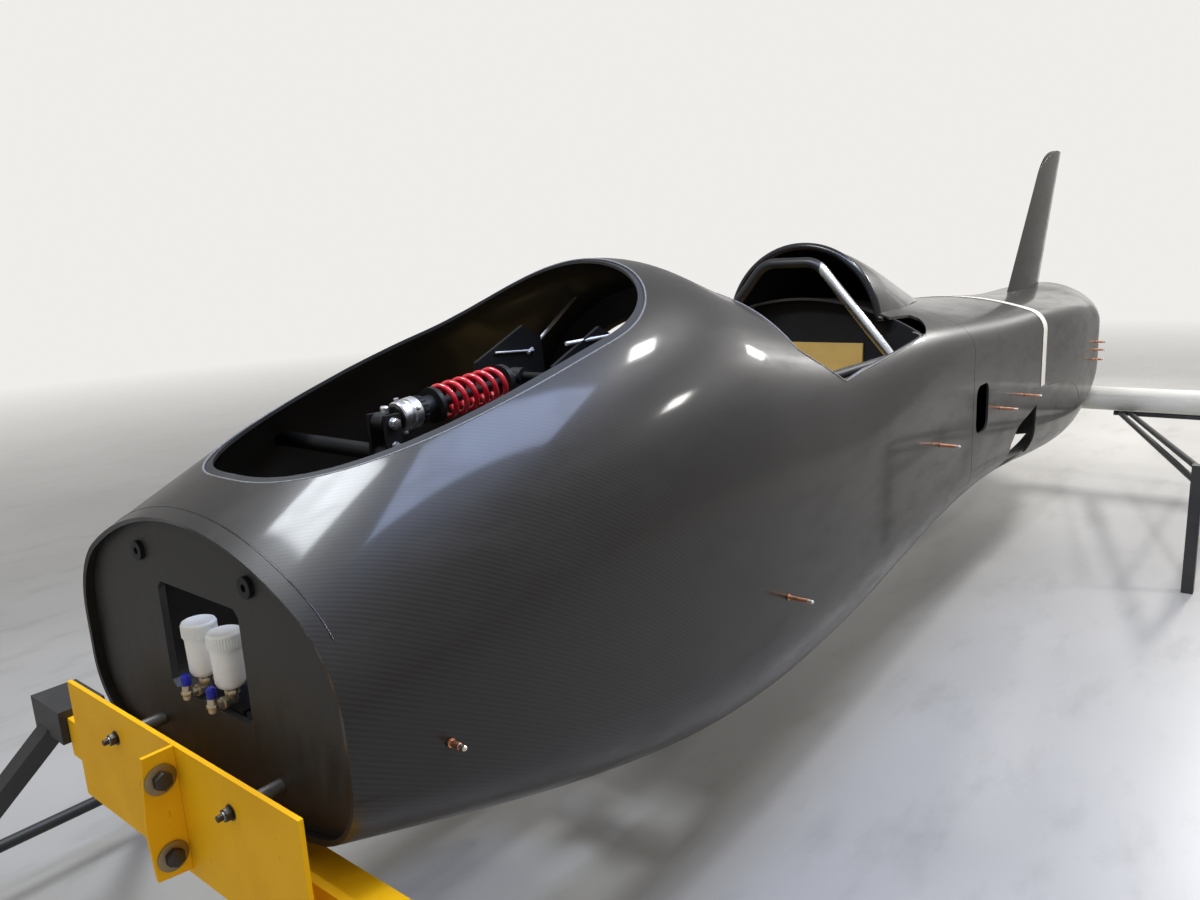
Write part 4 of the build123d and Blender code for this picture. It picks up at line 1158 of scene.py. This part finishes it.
RES_STATION, RES_Y, RES_Z = 0.018, 0.040, 0.762
BODY_ROWS = (
    (0, 0),
    (0, 0.0185),
    (0.0025, 0.0215),
    (0.009, 0.0238),
    (0.040, 0.0246),
    (0.066, 0.0252),
    (0.066, 0),
)
CAP_ROWS = (
    (0.0663, 0),
    (0.0663, 0.0268),
    (0.068, 0.0272),
    (0.0885, 0.0272),
    (0.0912, 0.0262),
    (0.092, 0.0245),
    (0.0905, 0.0225),
    (0.0905, 0),
)
STEM_ROWS = ((0, 0), (0, 0.010), (0.005, 0.0085), (0.024, 0.0085), (0.0325, 0.0045), (0.0325, 0))
ARM_ROWS = ((0, 0), (0, 0.0078), (0.028, 0.0078), (0.0395, 0.0055), (0.0395, 0))
SPOUT_ROWS = ((0, 0), (0, 0.0065), (0.002, 0.0082), (0.016, 0.0082), (0.025, 0.0074), (0.025, 0))
PLUG_ROWS = ((0, 0), (0, 0.0072), (0.0015, 0.0078), (0.0145, 0.0072), (0.0172, 0.0056), (0.0175, 0))
KNEE_DROP, SPOUT_REACH = 0.024, 0.034
LID_RIBS = (0.0685, 0.088, 0.0272, 40, 0.0008)  # from, to, radius, count and thickness
PLUG_RIBS = (0.018, 0.030, 0.0072, 12, 0.0009)


def ribs(bm, foot, low, high, radius, count, thick):
    """Upright grip ribs round a cap."""
    for number in range(count):
        turn = 2 * pi * number / count
        out = Vector((cos(turn), sin(turn), 0)) * radius
        bar(bm, foot + UP * low + out, foot + UP * high + out, thick, sides=6)


def reservoirs():
    """Two cups with ribbed lids, each on an elbow whose spout has a blue cap."""
    body, cap, metal, plug = (bmesh.new() for _ in range(4))
    for side in SIDES:
        foot = at(RES_STATION, side * RES_Y, RES_Z)
        knee = foot - UP * KNEE_DROP
        spout = knee + AHEAD * SPOUT_REACH
        turned(body, foot, UP, BODY_ROWS, 48)
        turned(cap, foot, UP, CAP_ROWS, 48)
        ribs(cap, foot, *LID_RIBS)
        turned(metal, foot, -UP, STEM_ROWS, 24)
        hex_head(metal, foot - UP * 0.0155, UP, 0.021, 0.009)
        turned(metal, knee, AHEAD, ARM_ROWS, 24)
        hex_head(metal, knee + AHEAD * 0.010, AHEAD, 0.019, 0.009)
        turned(metal, spout - UP * 0.009, UP, SPOUT_ROWS, 24)
        hex_head(metal, spout - UP * 0.001, UP, 0.018, 0.007)
        turned(plug, spout + UP * 0.0165, UP, PLUG_ROWS, 24)
        ribs(plug, spout, *PLUG_RIBS)
    finish_piece("reservoir_cups", body, "white_plastic", "reservoir_bodies", sharp=50.0)
    finish_piece("reservoir_lids", cap, "white_plastic", "reservoir_caps", sharp=50.0)
    finish_piece("elbow_fittings", metal, "brass", "reservoir_elbows")
    finish_piece("elbow_caps", plug, "blue_plastic", "elbow_plugs")


reservoirs()


# Nose mount fasteners

PLATE_FACE = -0.081
PIVOT_STATION, PIVOT_Z = -0.108, (0.526, 0.657)
LUG_LEFT, LUG_RIGHT, WASHER = 0.0300, 0.0220, 0.0034
WASHER_ROWS = ((0.0003, 0), (0.0003, 0.0242), (0.0028, 0.0245), (WASHER, 0.0235), (WASHER, 0))


def mount_fasteners():
    """The two cross bolts through the lug, and the plate's nuts on their spacers."""
    bm, rings = bmesh.new(), bmesh.new()
    for height in PIVOT_Z:
        left, right = at(PIVOT_STATION, LUG_LEFT, height), at(PIVOT_STATION, LUG_RIGHT, height)
        turned(rings, left, LEFT, WASHER_ROWS, 40)
        hex_head(bm, left + LEFT * WASHER, LEFT, 0.026, 0.0118)
        turned(rings, right, -LEFT, WASHER_ROWS, 40)
        hex_head(bm, right - LEFT * WASHER, -LEFT, 0.026, 0.0138)
        bar(bm, left, at(PIVOT_STATION, 0.0005, height), 0.0088)
    finish_piece("lug_bolts", bm, "dark_bolt", "pivot_bolts", slot="steel")
    finish_piece("lug_washers", rings, "washer", slot="steel")
    bm = bmesh.new()
    for side in SIDES:
        face = at(PLATE_FACE, side * SPACER_Y, SPACER_Z)
        hex_head(bm, face, AHEAD, 0.019, 0.010, 0.0125)
        bar(bm, face + AHEAD * 0.010, face + AHEAD * 0.0215, 0.0052)
    finish_piece("plate_nuts", bm, "dark_bolt", slot="steel")


mount_fasteners()


# Pins left standing in the skin, each with a bare tip

PINS = (  # station, height and reach
    (0.141, 0.722, 0.034),
    (1.090, 0.635, 0.062),
    (2.138, 0.774, 0.062),
    (2.844, 0.774, 0.062),
    (3.200, 0.769, 0.062),
    (4.660, 0.737, 0.050),
    (4.720, 0.780, 0.050),
    (4.730, 0.820, 0.050),
)
PIN_R, PIN_TIP_R, PIN_TIP, PIN_ROOT = 0.0052, 0.0044, 0.013, 0.006
COLLAR_R = PIN_R * 1.35
PIN_ROWS = ((0, 0), (0, PIN_R), (0.007, PIN_R), (0.0075, COLLAR_R), (0.010, COLLAR_R), (0.0105, PIN_R))


def skin_pins():
    for side, word in zip(SIDES, ("right", "left")):
        shank, tip = bmesh.new(), bmesh.new()
        for station, height, length in PINS:
            root = at(station, side * (OUTER.reach(station, height) - PIN_ROOT), height)
            reach = length + PIN_ROOT
            neck = reach - PIN_TIP
            shoulder = ((neck, PIN_R), (neck + 0.001, PIN_TIP_R), (neck + 0.001, 0))
            end = ((reach - 0.003, PIN_TIP_R), (reach, 0.002), (reach, 0))
            turned(shank, root, LEFT * side, (*PIN_ROWS, *shoulder), 16)
            turned(tip, root, LEFT * side, (*shoulder[:0:-1], *end), 16)
        finish_piece("pins_" + word, shank, "copper", "skin_pins_" + word)
        finish_piece("pin_tips_" + word, tip, "pin_tip", slot="copper")


skin_pins()


# Everything that keeps its CAD form

PLAIN_NODES = {
    "ring_frame": "carbon_matte",
    # painted shade in part: the cabin finish here and on the damper tower and bracket is darkened for the
    # shade inside the cockpit and hatch
    "seat_back": "cabin_black_and_shade",
    "seat_pan": "ochre",
    "rear_bulkhead": "carbon_matte",
    "head_beam": "black_paint",
    "post_beam": "black_paint",
    "damper_tower": "cabin_black_and_shade",
    "damper_bracket": "cabin_black_and_shade",
    "damper_body": "black_alloy",
    "front_fork": "black_alloy",
    "front_axle": "steel",
    "front_hub": "aluminium",
    "steering_bar": "black_alloy",
    "steering_link": "aluminium",
    "rear_arm": "black_alloy",
    "rear_axle": "steel",
    "rear_hub": "aluminium",
    "drive_block": "battery",
    "block_bearers": "black_alloy",
    "roll_hoop": "hoop_tube",
    "side_rails": "black_paint",
    "headrest_fairing": "carbon",
    "tail_fin": "carbon",
    "bulkhead_bosses": "black_alloy",
    "reservoir_shelf": "black_alloy",
    "tail_band": "tape",
    "mount_plate": "yellow_paint",
    "pivot_channel": "yellow_paint",
    "mount_spacers": "steel",
    "stand_beam": "yellow_paint",
    "front_trestle": "black_paint",
    "cradle_bar": "steel",
    "cradle_pad": "foam",
    "rear_stand": "black_paint",
}
for node, finish in PLAIN_NODES.items():
    finished_copy(node, finish)


# Floor, light and camera

WARM, COOL, SKYLIGHT = (1.0, 0.98, 0.95), (0.90, 0.95, 1.0), (0.536, 0.66, 1.0)
LAMPS = (  # name, place, length along the vehicle, width, turn in degrees, radiance, colour
    ("hump_lamp", (2.60, 1.10, 3.20), 0.36, 0.24, 0.0, 112.0, WARM),
    ("side_lamp", (6.90, 1.36, 3.20), 1.30, 0.44, 0.0, 102.0, WARM),
    ("far_lamp", (4.10, 2.95, 3.20), 0.44, 0.30, 0.0, 94.0, WARM),
    ("nose_panel", (0.10, -0.60, 3.20), 0.50, 0.80, 0.0, 44.0, COOL),
    ("skylight", (1.07, 0.92, 3.22), 2.00, 0.62, 42.0, 17.6, SKYLIGHT),
)
REAR_WALL, REAR_WALL_AIM = at(9.0, -1.9, 1.25), at(4.0, -0.9, 1.0)
REAR_WALL_LENGTH, REAR_WALL_WIDTH, REAR_WALL_RADIANCE = 4.0, 1.9, 0.9
SKY = (1.0, 0.98, 0.955)
PALE, MIRRORED, AMBIENT = 0.87, 0.44, 0.60  # the room's level to the camera, to reflections and to the rest
FLOOR_HALF, FADE_FROM, FADE_TO = 30.0, 4.0, 13.0


def pale_floor():
    """A worn pale floor that fades into the room."""
    bm = bmesh.new()
    bmesh.ops.create_grid(bm, x_segments=2, y_segments=2, size=FLOOR_HALF)
    floor = loose_object("floor", bm)
    shade, place = placed_shade("floor_paint")
    cloud = shade.noise(place, 0.9, 4.0)
    scuffs = shade.noise(shade.stretched(place, (1.0, 2.5, 1.0)), 2.6, 6.0, 0.62).between(0.52, 0.80)
    paint = shade.blend(cloud.between(0.3, 0.7), (0.43, 0.425, 0.415), (0.36, 0.354, 0.344))
    base = shade.blend(scuffs * 0.5, paint, (0.22, 0.214, 0.205))
    floor.data.materials.append(shade.made(Base_Color=base, Roughness=0.36, Specular_IOR_Level=0.4))
    x, y, _ = shade.split(place)
    reach = (x * x + y * y) ** 0.5
    seen = shade.node("LightPath", output="Is Camera Ray")
    mirrored = shade.node("LightPath", output="Is Glossy Ray")
    level = {"Color": SKY, "Strength": seen * PALE + mirrored * MIRRORED}
    glow = shade.node("Emission", {}, level)
    far = reach.between(FADE_FROM, FADE_TO) * (seen + mirrored)
    mix = shade.node("MixShader", {}, (far, Value(shade, shade.surface.outputs[0]), glow))
    shade.feed(shade.tree.nodes["Material Output"].inputs[0], mix)


def pale_room():
    """The world: one colour, with its own level for the camera, for reflections and for the rest."""
    shade = Shade("pale_room", bpy.data.worlds, "Background")
    level = AMBIENT
    for ray, own_level in (("Is Glossy Ray", MIRRORED), ("Is Camera Ray", PALE)):
        hit = shade.node("LightPath", output=ray)
        level = shade.node("MapRange", {}, {"Value": hit, "To Min": level, "To Max": own_level})
    scene.world = shade.made(Color=SKY, Strength=level)


def lamps():
    """Ceiling lamps and a bright rear wall."""
    for name, place, length, width, turn, radiance, colour in LAMPS:
        lie = Matrix.Translation(at(*place)) @ Matrix.Rotation(radians(-turn), 4, "Z")
        area_lamp(name, lie, length, width, radiance, colour)
    face = (REAR_WALL_AIM - REAR_WALL).to_track_quat("-Z", "Y").to_matrix().to_4x4()
    lie = Matrix.Translation(REAR_WALL) @ face
    area_lamp("rear_wall", lie, REAR_WALL_LENGTH, REAR_WALL_WIDTH, REAR_WALL_RADIANCE, WARM)


def area_lamp(name, place, length, width, radiance, colour):
    """A soft rectangle that shows in reflections only; its length lies along its place's X axis."""
    lamp = bpy.data.lights.new(name, "AREA")
    lamp.shape = "RECTANGLE"
    lamp.size, lamp.size_y = length, width
    lamp.energy = radiance * pi * length * width
    lamp.color = colour
    holder = linked(name, lamp)
    holder.matrix_world = place
    holder.visible_camera = False


def camera():
    """The photograph's viewpoint, with its slight roll."""
    level_right = LOOK.cross(UP)
    forward = LOOK * cos(PITCH) - Vector((0, 0, sin(PITCH)))
    down = -LOOK * sin(PITCH) - Vector((0, 0, cos(PITCH)))
    right = level_right * ROLL[0] + down * ROLL[1]
    up = level_right * ROLL[1] - down * ROLL[0]
    lens = bpy.data.cameras.new("viewpoint")
    lens.sensor_width = SENSOR
    lens.lens = SENSOR * FOCAL_PIXELS / IMAGE_WIDTH
    holder = linked("viewpoint", lens)
    turn = Matrix((right, up, -forward)).transposed().to_4x4()
    holder.matrix_world = Matrix.Translation(at(CAMERA_STATION, CAMERA_LATERAL, CAMERA_HEIGHT)) @ turn
    scene.camera = holder


pale_floor()
pale_room()
lamps()
camera()
scene.view_settings.view_transform = "Standard"
